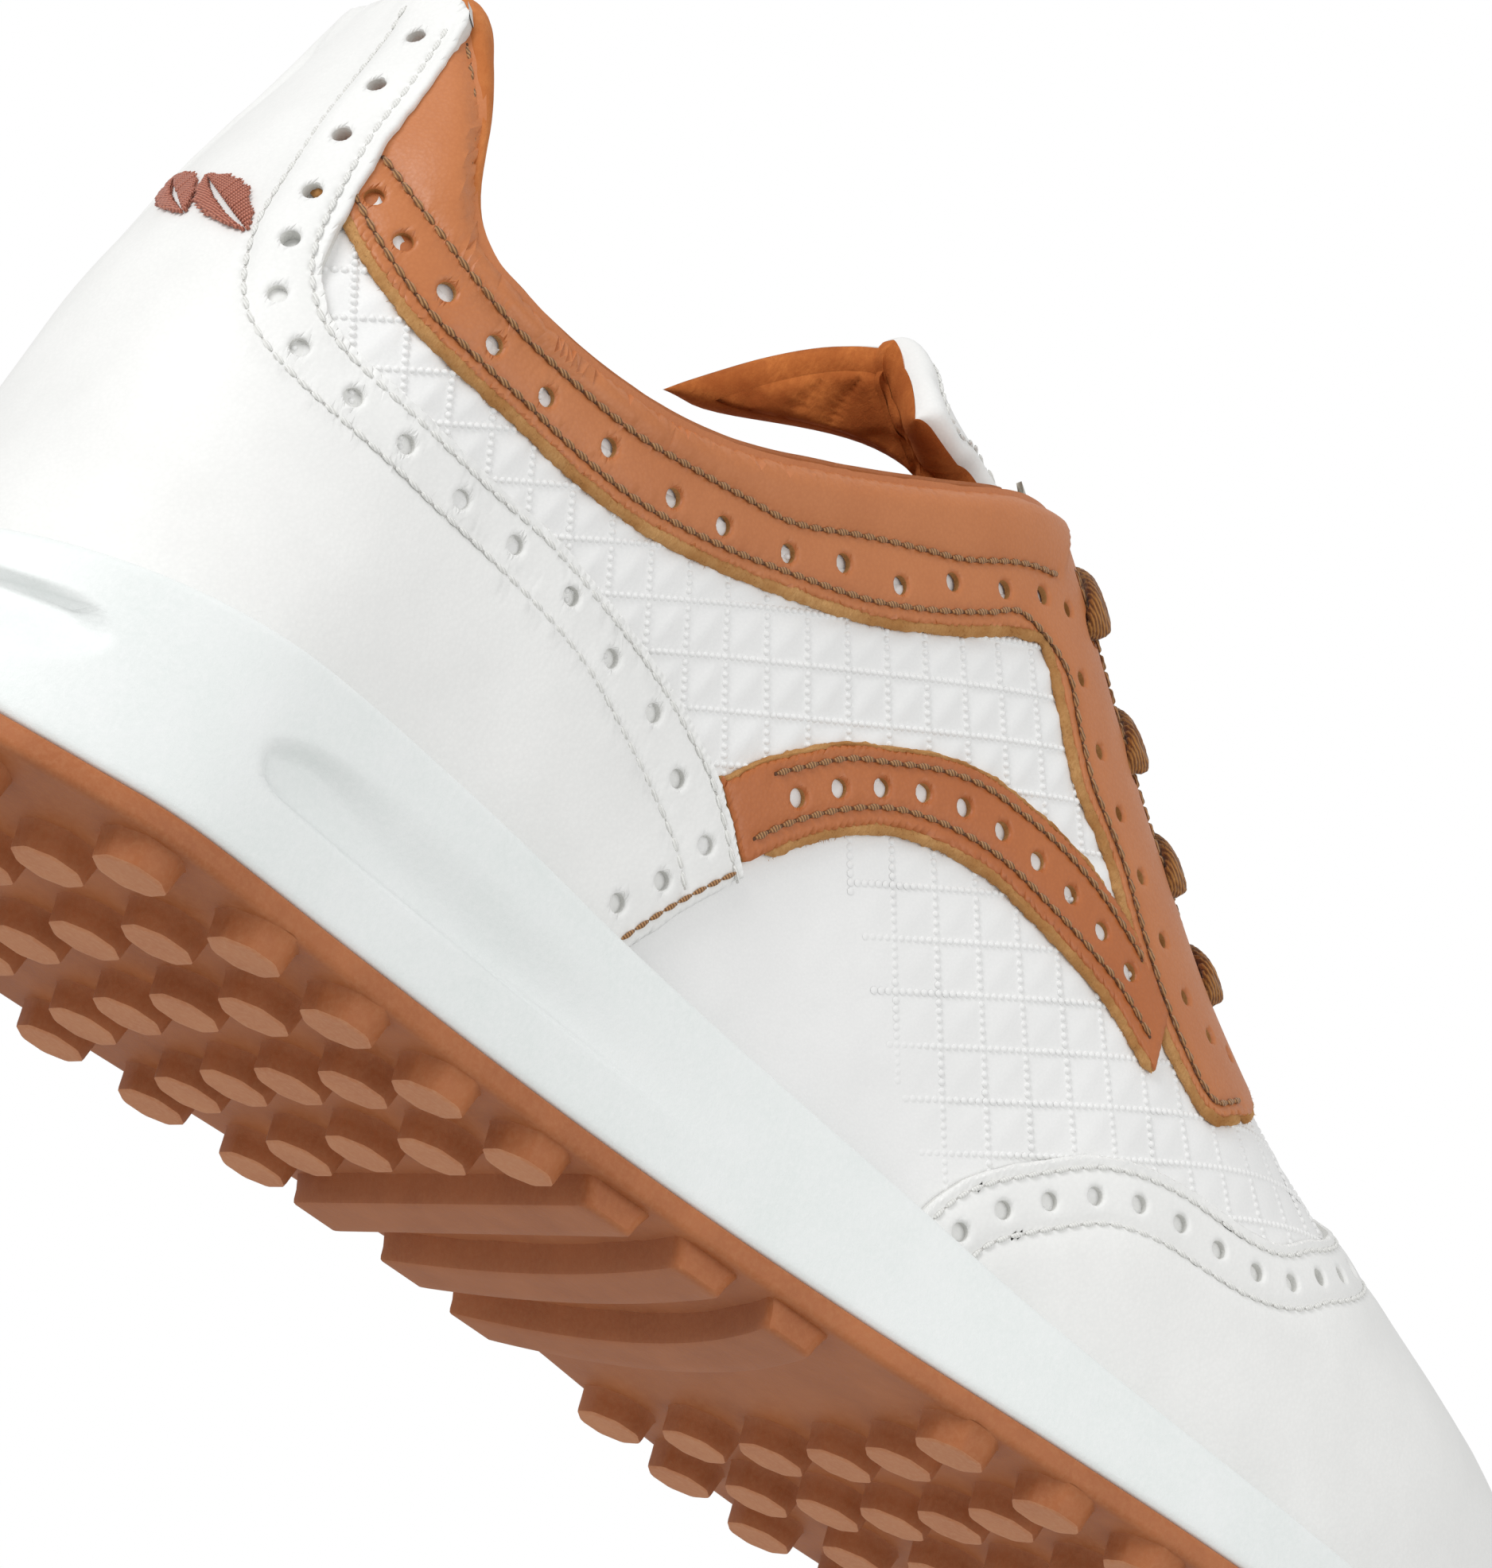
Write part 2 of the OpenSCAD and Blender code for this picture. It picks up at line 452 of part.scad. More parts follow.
// raised stitched badge low on the outer side of the heel tab
function back_x(y) = xa + 34 * (1 - pow(max(0, 1 - pow(abs(y) / 28, 2.3)), 1 / 2.3));
module heel_emblem() {
  f = function (i, j, l) let(u = 1 - i / 5, v = j / 4 - 1, y = -5.8 + 11 * u
    * sqrt(1 - v * v / 2), z = 79 + 6.5 * v * sqrt(1 - u * u / 2), x = back_x(y + 1.1))
    up(y < -1.1 ? -1 : 1, x, t_of(x, z), l == 0 ? skin + 0.02 : skin + 0.7);
  color([0.62, 0.38, 0.30]) sheet(10, 8, f);
}

outsole();
midsole();
insole_board();
footbed_foam();
footbed_cover();
heel_counter();
heel_overlay();
quarter_lateral();
quarter_medial();
vamp();
toe_puff();
toe_cap();
collar_band_lateral();
collar_band_medial();
saddle_stripe_lateral();
saddle_stripe_medial();
collar_foam();
collar_lining();
vamp_lining();
tongue_shell();
tongue_foam();
tongue_lining();
lace();
heel_emblem();
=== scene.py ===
import math

import bpy
import numpy as np
from mathutils import Matrix, geometry


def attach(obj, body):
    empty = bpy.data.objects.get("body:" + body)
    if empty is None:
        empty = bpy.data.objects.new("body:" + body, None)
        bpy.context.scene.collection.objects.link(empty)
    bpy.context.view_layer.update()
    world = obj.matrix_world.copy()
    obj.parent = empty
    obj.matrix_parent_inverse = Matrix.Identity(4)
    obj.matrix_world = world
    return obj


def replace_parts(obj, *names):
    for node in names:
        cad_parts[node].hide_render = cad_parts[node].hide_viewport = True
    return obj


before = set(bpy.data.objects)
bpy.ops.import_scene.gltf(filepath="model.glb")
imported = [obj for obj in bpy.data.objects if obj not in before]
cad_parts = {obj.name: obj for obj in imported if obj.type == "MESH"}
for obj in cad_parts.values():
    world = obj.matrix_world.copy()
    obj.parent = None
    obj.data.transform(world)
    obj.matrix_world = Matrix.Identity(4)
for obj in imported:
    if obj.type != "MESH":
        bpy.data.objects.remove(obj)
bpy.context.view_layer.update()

# Golf shoe, right foot. Every visible piece is made anew in mm on the surface that the CAD's upper follows.
# x runs from heel to toe, y to the inner side, z up. The outer side is -1 or "lat", the inner one 1 or "med".

# ------------------------------------------------------------------ shape of the shoe, mm
# Tables give [place along the shoe, value]. LEAN_X runs over the height instead, CAP_X over the share
# of the way up to the ridge.
HX, TX = -140.0, 140.0  # ends of the sole
XA, XB = -134.2, 134.2  # ends of the upper
LAT_W = [[-140, 38], [-105, 40], [-80, 37], [-45, 33.5], [-25, 33], [0, 34.5],
         [30, 38.5], [60, 42], [90, 42.5], [115, 40], [140, 34]]
MED_W = [[-140, 38], [-105, 40.5], [-80, 40], [-45, 36], [-20, 34], [0, 36.5],
         [20, 41], [42, 44.5], [70, 43.5], [95, 39.5], [120, 35], [140, 30]]
MID_Y = [[-140, -1.1], [-60, -1.6], [0, -2.1], [50, -1.6], [90, 0.9], [120, 3.9], [140, 5.9]]
RIM_Z = [[-140, 26], [-125, 28.5], [-105, 30.2], [-70, 29.4], [-45, 27], [-20, 24.6],
         [0, 22.3], [20, 19.3], [40, 17.3], [60, 16], [90, 15], [115, 16.5], [140, 21]]
CURL_Z = [[-140, 5], [-128, 1.2], [-117, 0], [-108, 0], [45, 0], [58, 0], [82, 1],
          [110, 4.5], [140, 11]]
RIDGE_Z = [[-140, 168], [-100, 160], [-60, 146], [-30, 132], [-5, 114], [20, 92],
           [45, 72.5], [70, 60.5], [95, 52], [115, 46], [140, 39]]
FULL_P = [[-140, 2.5], [-60, 2.5], [-20, 2.3], [30, 2.1], [80, 2.2], [140, 2.4]]
LEAN_X = [[0, 0.6], [24, 0.8], [32, 2.4], [44, 5], [56, 6.8], [70, 8.8], [90, 13.8],
          [110, 20], [130, 25], [170, 29]]
TOP_Z = [[-140, 117], [-131, 115.5], [-125, 108], [-119, 99.5], [-113.5, 90], [-108, 85.4],
         [-99.6, 83.3], [-91, 82.5], [-82, 82.6], [-75, 83.2], [-60, 87], [-45, 94],
         [-30, 102.6], [-18, 110], [-9, 114]]
BAND_Z = [[-126, 82.5], [-120, 77.4], [-116.8, 75.4], [-110.7, 72.6], [-102, 71],
          [-93, 70.4], [-84, 69.7], [-72, 69.8], [-60, 72], [-45, 76.5], [-34, 80.6],
          [-23, 86.6], [-12, 93.5], [-8, 95]]
HEEL_Z = [[-128.2, 112], [-127, 104.3], [-125.7, 92], [-124.2, 83.5], [-122.8, 75.3],
          [-121, 68.8], [-113.6, 62.4], [-103.7, 60.1], [-92, 58.8], [-70, 57.8], [-58, 56.6],
          [-50, 54], [-44, 50.8], [-36, 43.5]]
STRIPE_HI = [[-46, 48], [-41, 55.5], [-36, 60.5], [-31, 64.8], [-25, 68], [-19, 71],
             [-12, 73.2], [-4, 73.7], [6, 73], [13, 71.3], [20, 68.5]]
STRIPE_LO = [[-46, 34], [-37, 44.8], [-33, 50], [-28, 55], [-21.5, 59.6], [-15, 62],
             [-6, 63.3], [3, 62.4], [11, 61], [17, 59.4], [22, 57], [30, 53]]
FACE_LO = [[-9, 0.55], [-5, 0.54], [3, 0.5], [12, 0.5], [21, 0.46], [30, 0.44],
           [38, 0.46], [44, 0.56]]
FACE_HI = [[-9, 0.82], [0, 0.82], [20, 0.81], [32, 0.84], [38, 0.9], [44, 1]]
CAP_X = [[0, 1], [0.08, 5.5], [0.16, 14.5], [0.24, 24], [0.31, 35], [0.37, 47],
         [0.5, 58], [0.7, 67], [0.88, 68], [1, 64]]
EYE_X = [0.5, 13.7, 26, 37.5]
TONGUE_T = [[-30, 0.61], [-25, 0.65], [-20, 0.72], [-14, 0.836], [-8, 0.78], [4, 0.72], [50, 0.72]]
SEAT = [[-140, 20], [-60, 19.4], [0, 14.5], [60, 10.5], [140, 10.5]]


def curve(tab, x):
    """smooth curve through the points of a table"""
    p = np.array(tab, float)
    x = np.clip(np.asarray(x, float), p[0, 0], p[-1, 0])
    i = np.clip(np.searchsorted(p[:, 0], x, side="right") - 1, 0, len(p) - 2)
    h = np.diff(p[:, 0])
    sl = np.diff(p[:, 1]) / h
    m = np.empty(len(p))
    m[0], m[-1] = sl[0], sl[-1]
    m[1:-1] = (sl[:-1] * h[1:] + sl[1:] * h[:-1]) / (h[:-1] + h[1:])
    hh = h[i]
    t = (x - p[i, 0]) / hh
    return ((1 + 2 * t) * (1 - t) ** 2 * p[i, 1] + t * (1 - t) ** 2 * hh * m[i]
            + t * t * (3 - 2 * t) * p[i + 1, 1] + t * t * (t - 1) * hh * m[i + 1])


def endcap(x, a, b, hr, hp, tr, tp):
    """share of the full width near the two rounded ends, 0 at a and b"""
    h = np.clip((a + hr - x) / hr, 0, 1)
    t = np.clip((x - b + tr) / tr, 0, 1)
    return np.maximum(0, 1 - h ** hp) ** (1 / hp) * np.maximum(0, 1 - t ** tp) ** (1 / tp)


def side_w(x, s):
    return np.where(np.asarray(s) < 0, curve(LAT_W, x), curve(MED_W, x))


def half_w(x, s, inset):
    return (side_w(x, s) - inset) * endcap(x, HX + inset, TX - inset, 40, 2.3, 60, 2.2)


def up_w(x, s):
    return (side_w(x, s) - 5.6) * endcap(x, XA, XB, 34, 2.3, 56, 2.2)


def up_foot(x):
    """height where the upper meets the sole"""
    return curve(SEAT, x) + 0.05 + curve(CURL_Z, x)


def up_h(x):
    k = np.clip((x - XB + 34) / 34, 0, 1)
    return (curve(RIDGE_Z, x) - up_foot(x)) * (0.4 + 0.6 * np.sqrt(np.maximum(0, 1 - k ** 2.2)))


def lean(x, z):
    """how far the heel leans forward"""
    return np.clip((-x - 50) / 83, 0, 1) ** 1.3 * curve(LEAN_X, z)


def ease(k):
    k = np.clip(k, 0, 1)
    return k * k * (3 - 2 * k)


def slim(x, z):
    """the heel narrows above the sole"""
    return 1 - 0.12 * ease((-60 - x) / 60) * ease((z - 28) / 32)


def unit(v):
    return v / np.maximum(np.linalg.norm(v, axis=-1, keepdims=True), 1e-9)


def up(s, x, t, o=0.0):
    """place and outward direction on the upper: side, along, share of the way to the ridge"""
    s, x, t, o = np.broadcast_arrays(*[np.asarray(q, float) for q in (s, x, t, o)])
    x = np.clip(x, XA, XB)
    w, h, p = up_w(x, s), up_h(x), curve(FULL_P, x)
    cy = np.maximum(0, np.cos(np.pi / 2 * t)) ** (2 / p)
    cz = np.maximum(0, np.sin(np.pi / 2 * t)) ** (2 / p)
    z = up_foot(x) + h * cz
    pos = np.stack([x + lean(x, z), curve(MID_Y, x) + s * w * slim(x, z) * cy, z], -1)
    e = 0.4
    dw = (up_w(x + e, s) - up_w(x - e, s)) / (2 * e)
    dh = (up_h(x + e) - up_h(x - e)) / (2 * e)
    ws = np.maximum(w, 0.01)
    n = unit(np.stack([-cy ** p * dw / ws - cz ** p * dh / h, s * cy ** (p - 1) / ws,
                       cz ** (p - 1) / h], -1))
    n = np.where((x <= XA + 0.01)[..., None], np.array([-1.0, 0, 0]), n)
    n = np.where((x >= XB - 0.01)[..., None], np.array([1.0, 0, 0]), n)
    return pos + o[..., None] * n, n


def t_of(x, z):
    """share of the way to the ridge at a height"""
    k = np.clip((np.asarray(z) - up_foot(x)) / up_h(x), 0, 1)
    return np.arcsin(np.clip(k ** (curve(FULL_P, x) / 2), 0, 1)) / (np.pi / 2)


# distance round the plan outline of the upper, from the heel
_u = np.linspace(0, 1, 3000)
_xs = XA + (XB - XA) * (1 - np.cos(np.pi * _u)) / 2
_w = (up_w(_xs, -1) + up_w(_xs, 1)) / 2
_q = np.concatenate([[0], np.cumsum(np.hypot(np.diff(_xs), np.diff(_w)))])
ARC = _q[-1]
V = 80.0  # sheet coordinate at the ridge


def q_of(x):
    return np.interp(x, _xs, _q)


def x_of(q):
    return np.interp(q, _q, _xs)


def skin(uv, mode, o=0.0):
    """sheet coordinates: distance round the plan outline, and V times the share upwards"""
    a, v = uv[..., 0], uv[..., 1]
    if mode == "heel":
        return up(np.where(a < 0, -1, 1), x_of(np.abs(a)), v / V, o)
    if mode == "over":
        return up(np.where(v <= V, -1, 1), x_of(a), np.where(v <= V, v, 2 * V - v) / V, o)
    return up(-1 if mode == "lat" else 1, x_of(a), v / V, o)


def jac(uv, mode):
    """how the place in space changes with each sheet coordinate"""
    e = 0.08
    da, dv = np.array([e, 0]), np.array([0, e])
    pa = (skin(uv + da, mode)[0] - skin(uv - da, mode)[0]) / (2 * e)
    pv = (skin(uv + dv, mode)[0] - skin(uv - dv, mode)[0]) / (2 * e)
    return pa, pv


def shift(uv, mode, d):
    """sheet coordinates after a move d in space along the sheet"""
    pa, pv = jac(uv, mode)
    aa, av, vv = (pa * pa).sum(-1), (pa * pv).sum(-1), (pv * pv).sum(-1)
    ra, rv = (pa * d).sum(-1), (pv * d).sum(-1)
    det = np.maximum(aa * vv - av * av, 1e-4)
    return uv + np.stack([(vv * ra - av * rv) / det, (aa * rv - av * ra) / det], -1)


def xz(pts):
    """sheet coordinates from pairs of place along the shoe and height"""
    p = np.array(pts, float).reshape(-1, 2)
    return np.stack([q_of(p[:, 0]), V * t_of(p[:, 0], p[:, 1])], -1)


def xt(x, t):
    """sheet coordinates from place along the shoe and share of the way to the ridge"""
    x, t = np.broadcast_arrays(np.asarray(x, float), np.asarray(t, float))
    return np.stack([q_of(x), V * t], -1)


# ------------------------------------------------------------------ small tools
_tab = np.random.RandomState(7).rand(4096)


def noise(p, size, seed=0):
    """smooth random values from -1 to 1 at points p, with bumps about size across"""
    q = np.asarray(p, float) / size + 37.3 * seed + 1000
    i = np.floor(q).astype(np.int64)
    f = q - i
    f = f * f * (3 - 2 * f)
    out = 0
    for c in range(2 ** q.shape[-1]):
        w, key = 1.0, 0
        for k in range(q.shape[-1]):
            b = c >> k & 1
            w = w * (f[..., k] if b else 1 - f[..., k])
            key = key + (i[..., k] + b) * (73, 1193, 5237)[k]
        out = out + w * _tab[(key * 2654435761 >> 7) % 4096]
    return out * 2 - 1


def smooth(pts, step=1.0):
    """dense smooth line through the points"""
    p = np.array(pts, float)
    e = np.vstack([2 * p[0] - p[1], p, 2 * p[-1] - p[-2]])
    out = []
    for i in range(len(p) - 1):
        n = max(2, int(np.linalg.norm(p[i + 1] - p[i]) / step) + 1)
        t = np.linspace(0, 1, n, endpoint=False)[:, None]
        a, b, c, d = e[i], e[i + 1], e[i + 2], e[i + 3]
        out.append(0.5 * (2 * b + (c - a) * t + (2 * a - 5 * b + 4 * c - d) * t ** 2
                          + (3 * b - a - 3 * c + d) * t ** 3))
    return np.vstack(out + [p[-1:]])


def along(pts3, values, step, phase=0.0):
    """values picked at even steps of the length of the line pts3"""
    d = np.concatenate([[0], np.cumsum(np.linalg.norm(np.diff(pts3, axis=0), axis=1))])
    n = max(1, int(round(d[-1] / step)))
    s = (np.arange(n) + phase) * d[-1] / n if phase else np.linspace(0, d[-1], n + 1)
    return np.stack([np.interp(s, d, values[:, k]) for k in range(values.shape[1])], -1)


def inside(pts, poly):
    """which points lie inside the closed outline"""
    r = np.zeros(len(pts), bool)
    x, y = pts[:, 0], pts[:, 1]
    a, b = poly, np.roll(poly, -1, 0)
    for (x0, y0), (x1, y1) in zip(a, b):
        if y0 == y1:
            continue
        hit = (y0 > y) != (y1 > y)
        r ^= hit & (x < (x1 - x0) * (y - y0) / (y1 - y0) + x0)
    return r


def near(p, q):
    """distance from each point p to the nearest q"""
    if not len(q):
        return np.full(len(p), 1e3)
    out = np.empty(len(p))
    for i in range(0, len(p), 1500):
        c = p[i:i + 1500]
        d = (c * c).sum(1)[:, None] + (q * q).sum(1)[None] - 2 * c @ q.T
        out[i:i + 1500] = np.sqrt(np.maximum(d.min(1), 0))
    return out


class Build:
    """collects vertices and faces in mm and makes one object"""

    def __init__(self):
        self.v, self.f, self.m, self.n = [], [], [], 0

    def add(self, verts, faces, mat=0):
        faces = np.asarray(faces, np.int64)
        if len(faces):
            self.v.append(np.asarray(verts, float).reshape(-1, 3))
            self.f.append(faces + self.n)
            self.m.append(np.full(len(faces), mat) if np.isscalar(mat) else np.asarray(mat))
            self.n += len(self.v[-1])
        return self

    def more(self, faces, mat=0):
        """faces on the vertices already added"""
        faces = np.asarray(faces, np.int64)
        self.f.append(faces)
        self.m.append(np.full(len(faces), mat))

    def make(self, name, mats, body="shoe", sharp=38, merge=None, normals=False):
        me = bpy.data.meshes.new(name)
        v = np.vstack(self.v) / 1000
        me.vertices.add(len(v))
        me.vertices.foreach_set("co", v.ravel())
        total = np.concatenate([np.full(len(f), f.shape[1]) for f in self.f])
        loops = np.concatenate([f.ravel() for f in self.f])
        me.loops.add(len(loops))
        me.loops.foreach_set("vertex_index", loops)
        me.polygons.add(len(total))
        me.polygons.foreach_set("loop_start", np.concatenate([[0], np.cumsum(total)[:-1]]))
        me.polygons.foreach_set("loop_total", total)
        me.polygons.foreach_set("material_index", np.concatenate(self.m))
        for m in mats if isinstance(mats, (list, tuple)) else [mats]:
            me.materials.append(m)
        me.update(calc_edges=True)
        me.validate()
        if merge or normals:
            import bmesh
            bm = bmesh.new()
            bm.from_mesh(me)
            if merge:
                bmesh.ops.remove_doubles(bm, verts=bm.verts, dist=merge / 1000)
            bmesh.ops.recalc_face_normals(bm, faces=bm.faces)
            bm.to_mesh(me)
            bm.free()
        me.shade_smooth()
        if sharp < 180:
            me.set_sharp_from_angle(angle=math.radians(sharp))
        ob = bpy.data.objects.new(name, me)
        bpy.context.scene.collection.objects.link(ob)
        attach(ob, body)
        return ob


def fan(b, ring, centre, turn, mat=0):
    """closes a ring with triangles to its centre"""
    m = len(ring)
    j = np.arange(m)
    b.add(np.vstack([ring, centre[None]]), np.stack([j, (j + 1) % m, np.full(m, m)], -1)[:, ::turn], mat)


def quads(nu, nv, wrap_u=False, wrap_v=False, flip=False):
    i, j = np.meshgrid(np.arange(nu - (not wrap_u)), np.arange(nv - (not wrap_v)), indexing="ij")
    i2, j2 = (i + 1) % nu, (j + 1) % nv
    f = np.stack([i * nv + j, i2 * nv + j, i2 * nv + j2, i * nv + j2], -1).reshape(-1, 4)
    return f[:, ::-1] if flip else f


def stamp(build, verts, faces, centre, ax, ay, az, mat=0):
    """copies of a small shape, one at each centre, turned to the axes given"""
    n = len(centre)
    if not n:
        return
    p = (centre[:, None] + verts[None, :, :1] * ax[:, None] + verts[None, :, 1:2] * ay[:, None]
         + verts[None, :, 2:] * az[:, None])
    f = faces[None] + (np.arange(n) * len(verts))[:, None, None]
    build.add(p.reshape(-1, 3), f.reshape(-1, faces.shape[1]), mat)


def capsule(length, r, flat=0.8, twist=0.0, lobes=0.0, nu=9, nv=8, bow=0.0):
    """one stitch of thread along x: rounded ends, with two twisted strands"""
    u = np.linspace(-1, 1, nu)
    a = np.arange(nv) * 2 * np.pi / nv
    x = u * length / 2
    rr = r * np.maximum(0.04, 1 - np.abs(u) ** 5) ** 0.5
    k = 1 + lobes * np.cos(2 * (a - twist * u[:, None]))
    y, z = rr[:, None] * k * np.cos(a), flat * rr[:, None] * k * np.sin(a)
    z = z + (bow * (1 - u ** 2))[:, None]
    v = np.stack([np.repeat(x, nv).reshape(nu, nv), y, z], -1).reshape(-1, 3)
    return v, quads(nu, nv, wrap_v=True)


def dome(sides):
    """low round bead of radius 1, open below"""
    a = np.arange(sides) * 2 * np.pi / sides
    c, s = np.cos(a), np.sin(a)
    v = np.vstack([np.stack([c, s, 0 * c - 0.15], -1),
                   np.stack([0.72 * c, 0.72 * s, 0 * c + 0.72], -1), [[0, 0, 1.0]]])
    i = np.arange(sides)
    j = (i + 1) % sides
    tri = np.vstack([np.stack([i, j, j + sides], -1), np.stack([i, j + sides, i + sides], -1),
                     np.stack([i + sides, j + sides, 0 * i + 2 * sides], -1)])
    return v, tri


# ------------------------------------------------------------------ materials
def lin(rgb):
    """linear colour from one written as 0 to 255"""
    return [((c / 255 + 0.055) / 1.055) ** 2.4 if c > 10 else c / 3294 for c in rgb] + [1.0]


class Mat:
    """one procedural material; sizes are in mm"""
    def __init__(self, name, rough=0.5, spec=0.5, **sockets):
        self.m = bpy.data.materials.new(name)
        self.m.use_nodes = True
        self.t = self.m.node_tree
        self.n, self.l = self.t.nodes, self.t.links
        self.p = self.n["Principled BSDF"]
        self.p.inputs["Roughness"].default_value = rough
        self.p.inputs["Specular IOR Level"].default_value = spec
        for k, v in sockets.items():
            self.p.inputs[k.replace("_", " ")].default_value = v
        self.co = self.n.new("ShaderNodeTexCoord").outputs["Object"]
        self.height = None

    def node(self, kind, props=None, **ins):
        nd = self.n.new(kind)
        for k, v in (props or {}).items():
            setattr(nd, k, v)
        for k, v in ins.items():
            self.put(nd.inputs[k.replace("_", " ")], v)
        return nd

    def put(self, socket, v):
        """links a node's output, or sets a constant"""
        if isinstance(v, bpy.types.NodeSocket):
            self.l.new(v, socket)
        else:
            socket.default_value = v

    def stretch(self, s, rot=(0, 0, 0)):
        return self.node("ShaderNodeMapping", Vector=self.co, Scale=s, Rotation=rot).outputs[0]

    def noise(self, per_mm, detail=3, rough=0.55, vec=None):
        return self.node("ShaderNodeTexNoise", Vector=vec or self.co, Scale=per_mm * 1000,
                         Detail=detail, Roughness=rough).outputs[0]

    def cells(self, per_mm, feature="F1"):
        return self.node("ShaderNodeTexVoronoi", {"feature": feature}, Vector=self.co,
                         Scale=per_mm * 1000, Randomness=1.0).outputs["Distance"]

    def wave(self, per_mm, vec, distort):
        return self.node("ShaderNodeTexWave", Vector=vec, Scale=per_mm * 1000 / 3.14,
                         Distortion=distort, Detail=2.0).outputs[1]

    def ramp(self, fac, *stops):
        nd = self.node("ShaderNodeValToRGB", Fac=fac)
        cr = nd.color_ramp
        while len(cr.elements) < len(stops):
            cr.elements.new(0.5)
        for e, (pos, col) in zip(cr.elements, stops):
            e.position = pos
            e.color = lin(col) if isinstance(col, tuple) else (col, col, col, 1)
        return nd.outputs[0]

    def mix(self, fac, a, b):
        nd = self.node("ShaderNodeMix", {"data_type": "RGBA"})
        for socket, v in ((nd.inputs[0], fac), (nd.inputs[6], a), (nd.inputs[7], b)):
            self.put(socket, lin(v) if isinstance(v, tuple) else v)
        return nd.outputs[2]

    def bump(self, h, mm, strength):
        """adds relief on top of what is there"""
        ins = dict(Height=h, Distance=mm / 1000, Strength=strength)
        if self.height is not None:
            ins["Normal"] = self.height
        self.height = self.node("ShaderNodeBump", **ins).outputs[0]
        return self

    def done(self, color, rough=None):
        self.l.new(color, self.p.inputs["Base Color"])
        if rough is not None:
            self.l.new(rough, self.p.inputs["Roughness"])
        if self.height is not None:
            self.l.new(self.height, self.p.inputs["Normal"])
        return self.m


def leather(name, light, dark, pore, rough=(0.42, 0.56), grain=1.0, spec=0.42, blotch=0.12,
            depth=0.05):
    """finished leather: fine cell grain, pores, soft colour drift and uneven gloss"""
    m = Mat(name, spec=spec)
    big = m.noise(blotch * 0.5, 3)
    fine = m.noise(2.2 * grain, 4)
    c = m.mix(m.ramp(big, (0.3, 0.0), (0.7, 1.0)), dark, light)
    g = m.cells(1.9 * grain)
    c = m.mix(m.ramp(g, (0.0, 0.0), (0.75, 0.22)), c, pore)
    m.bump(g, depth, 0.55).bump(m.cells(0.9 * grain, "SMOOTH_F1"), depth, 0.3)
    m.bump(fine, depth * 0.8, 0.4).bump(m.noise(0.22, 3), 0.25, 0.25)
    return m.done(c, m.ramp(fine, (0.3, rough[0]), (0.7, rough[1])))


def suede(name, light, dark, rough=0.9, nap=1.0):
    """brushed nap, streaky and dull"""
    m = Mat(name, rough=rough, spec=0.15, Sheen_Weight=0.35, Sheen_Roughness=0.45)
    m.p.inputs["Sheen Tint"].default_value = lin(light)
    a = m.noise(0.16, 4, 0.6)
    b = m.noise(1.6 * nap, 5, 0.7, m.stretch((1.5, 0.7, 0.5)))
    c = m.mix(m.ramp(a, (0.32, 0.0), (0.68, 1.0)), dark, light)
    c = m.mix(m.ramp(b, (0.35, 0.55), (0.65, 0.0)), c, dark)
    m.bump(b, 0.18, 0.7).bump(m.noise(4.5, 2), 0.06, 0.6)
    return m.done(c)


def thread(name, light, dark, rough=0.6, per_mm=2.6, rot=0.7):
    """twisted thread; its dark-to-light twist bands are painted shade in the grooves and painted highlight on
    the strands, over random darker flecks
    """
    m = Mat(name, rough=rough, spec=0.3, Sheen_Weight=0.2)
    w = m.wave(per_mm, m.stretch((1, 1, 1), (rot, rot, rot)), 1.5)
    n = m.noise(3.0, 3)
    # painted shade and highlight: dark in the grooves between the strands, light on their crowns
    c = m.mix(m.ramp(w, (0.15, 0.0), (0.8, 1.0)), dark, light)
    c = m.mix(m.ramp(n, (0.35, 0.3), (0.7, 0.0)), c, dark)
    m.bump(w, 0.09, 0.8).bump(n, 0.05, 0.5)
    return m.done(c)


def rubber(name, light, dark, dust, rough=(0.5, 0.68), dusty=0.5, spec=0.4):
    """moulded rubber: faint swirl, grain, and a dry bloom"""
    m = Mat(name, spec=spec)
    a, b = m.noise(0.09, 4, 0.6), m.noise(1.4, 5, 0.65)
    c = m.mix(m.ramp(a, (0.3, 0.0), (0.7, 1.0)), dark, light)
    c = m.mix(m.ramp(b, (0.42, 0.0), (0.72, dusty)), c, dust)
    m.bump(b, 0.09, 0.55).bump(m.noise(5.0, 2), 0.03, 0.5).bump(a, 0.4, 0.15)
    return m.done(c, m.ramp(b, (0.3, rough[0]), (0.7, rough[1])))


WHITE = leather("white_leather", (243, 243, 241), (236, 236, 234), (224, 225, 224), spec=0.35,
                rough=(0.46, 0.6), depth=0.035)
EMBOSS = leather("embossed_leather", (243, 243, 242), (238, 238, 237), (226, 227, 227), spec=0.3,
                 rough=(0.5, 0.62), grain=1.5, depth=0.02)
CUT_WHITE = suede("white_cut_edge", (236, 236, 233), (214, 214, 210), nap=2.0)
TAN = leather("tan_leather", (200, 126, 76), (189, 115, 66), (168, 94, 50), rough=(0.38, 0.52),
              grain=1.15, spec=0.45, depth=0.04)
TAN_DEEP = leather("tan_stripe_leather", (190, 112, 60), (178, 101, 52), (156, 84, 42),
                   rough=(0.36, 0.5), grain=1.1, spec=0.45, depth=0.045)
RAW = suede("raw_edge", (206, 160, 106), (164, 112, 62), nap=1.8)
COVER = leather("footbed_cover", (196, 124, 76), (182, 110, 62), (156, 90, 48), rough=(0.5, 0.64),
                grain=0.8, spec=0.3, depth=0.06)
ROLL_M = suede("collar_roll", (206, 131, 76), (180, 104, 54), rough=0.8, nap=0.8)
LINING = suede("lining_leather", (206, 128, 68), (176, 98, 46), rough=0.85, nap=0.7)
SUEDE = suede("lining_suede", (204, 122, 62), (160, 84, 38))
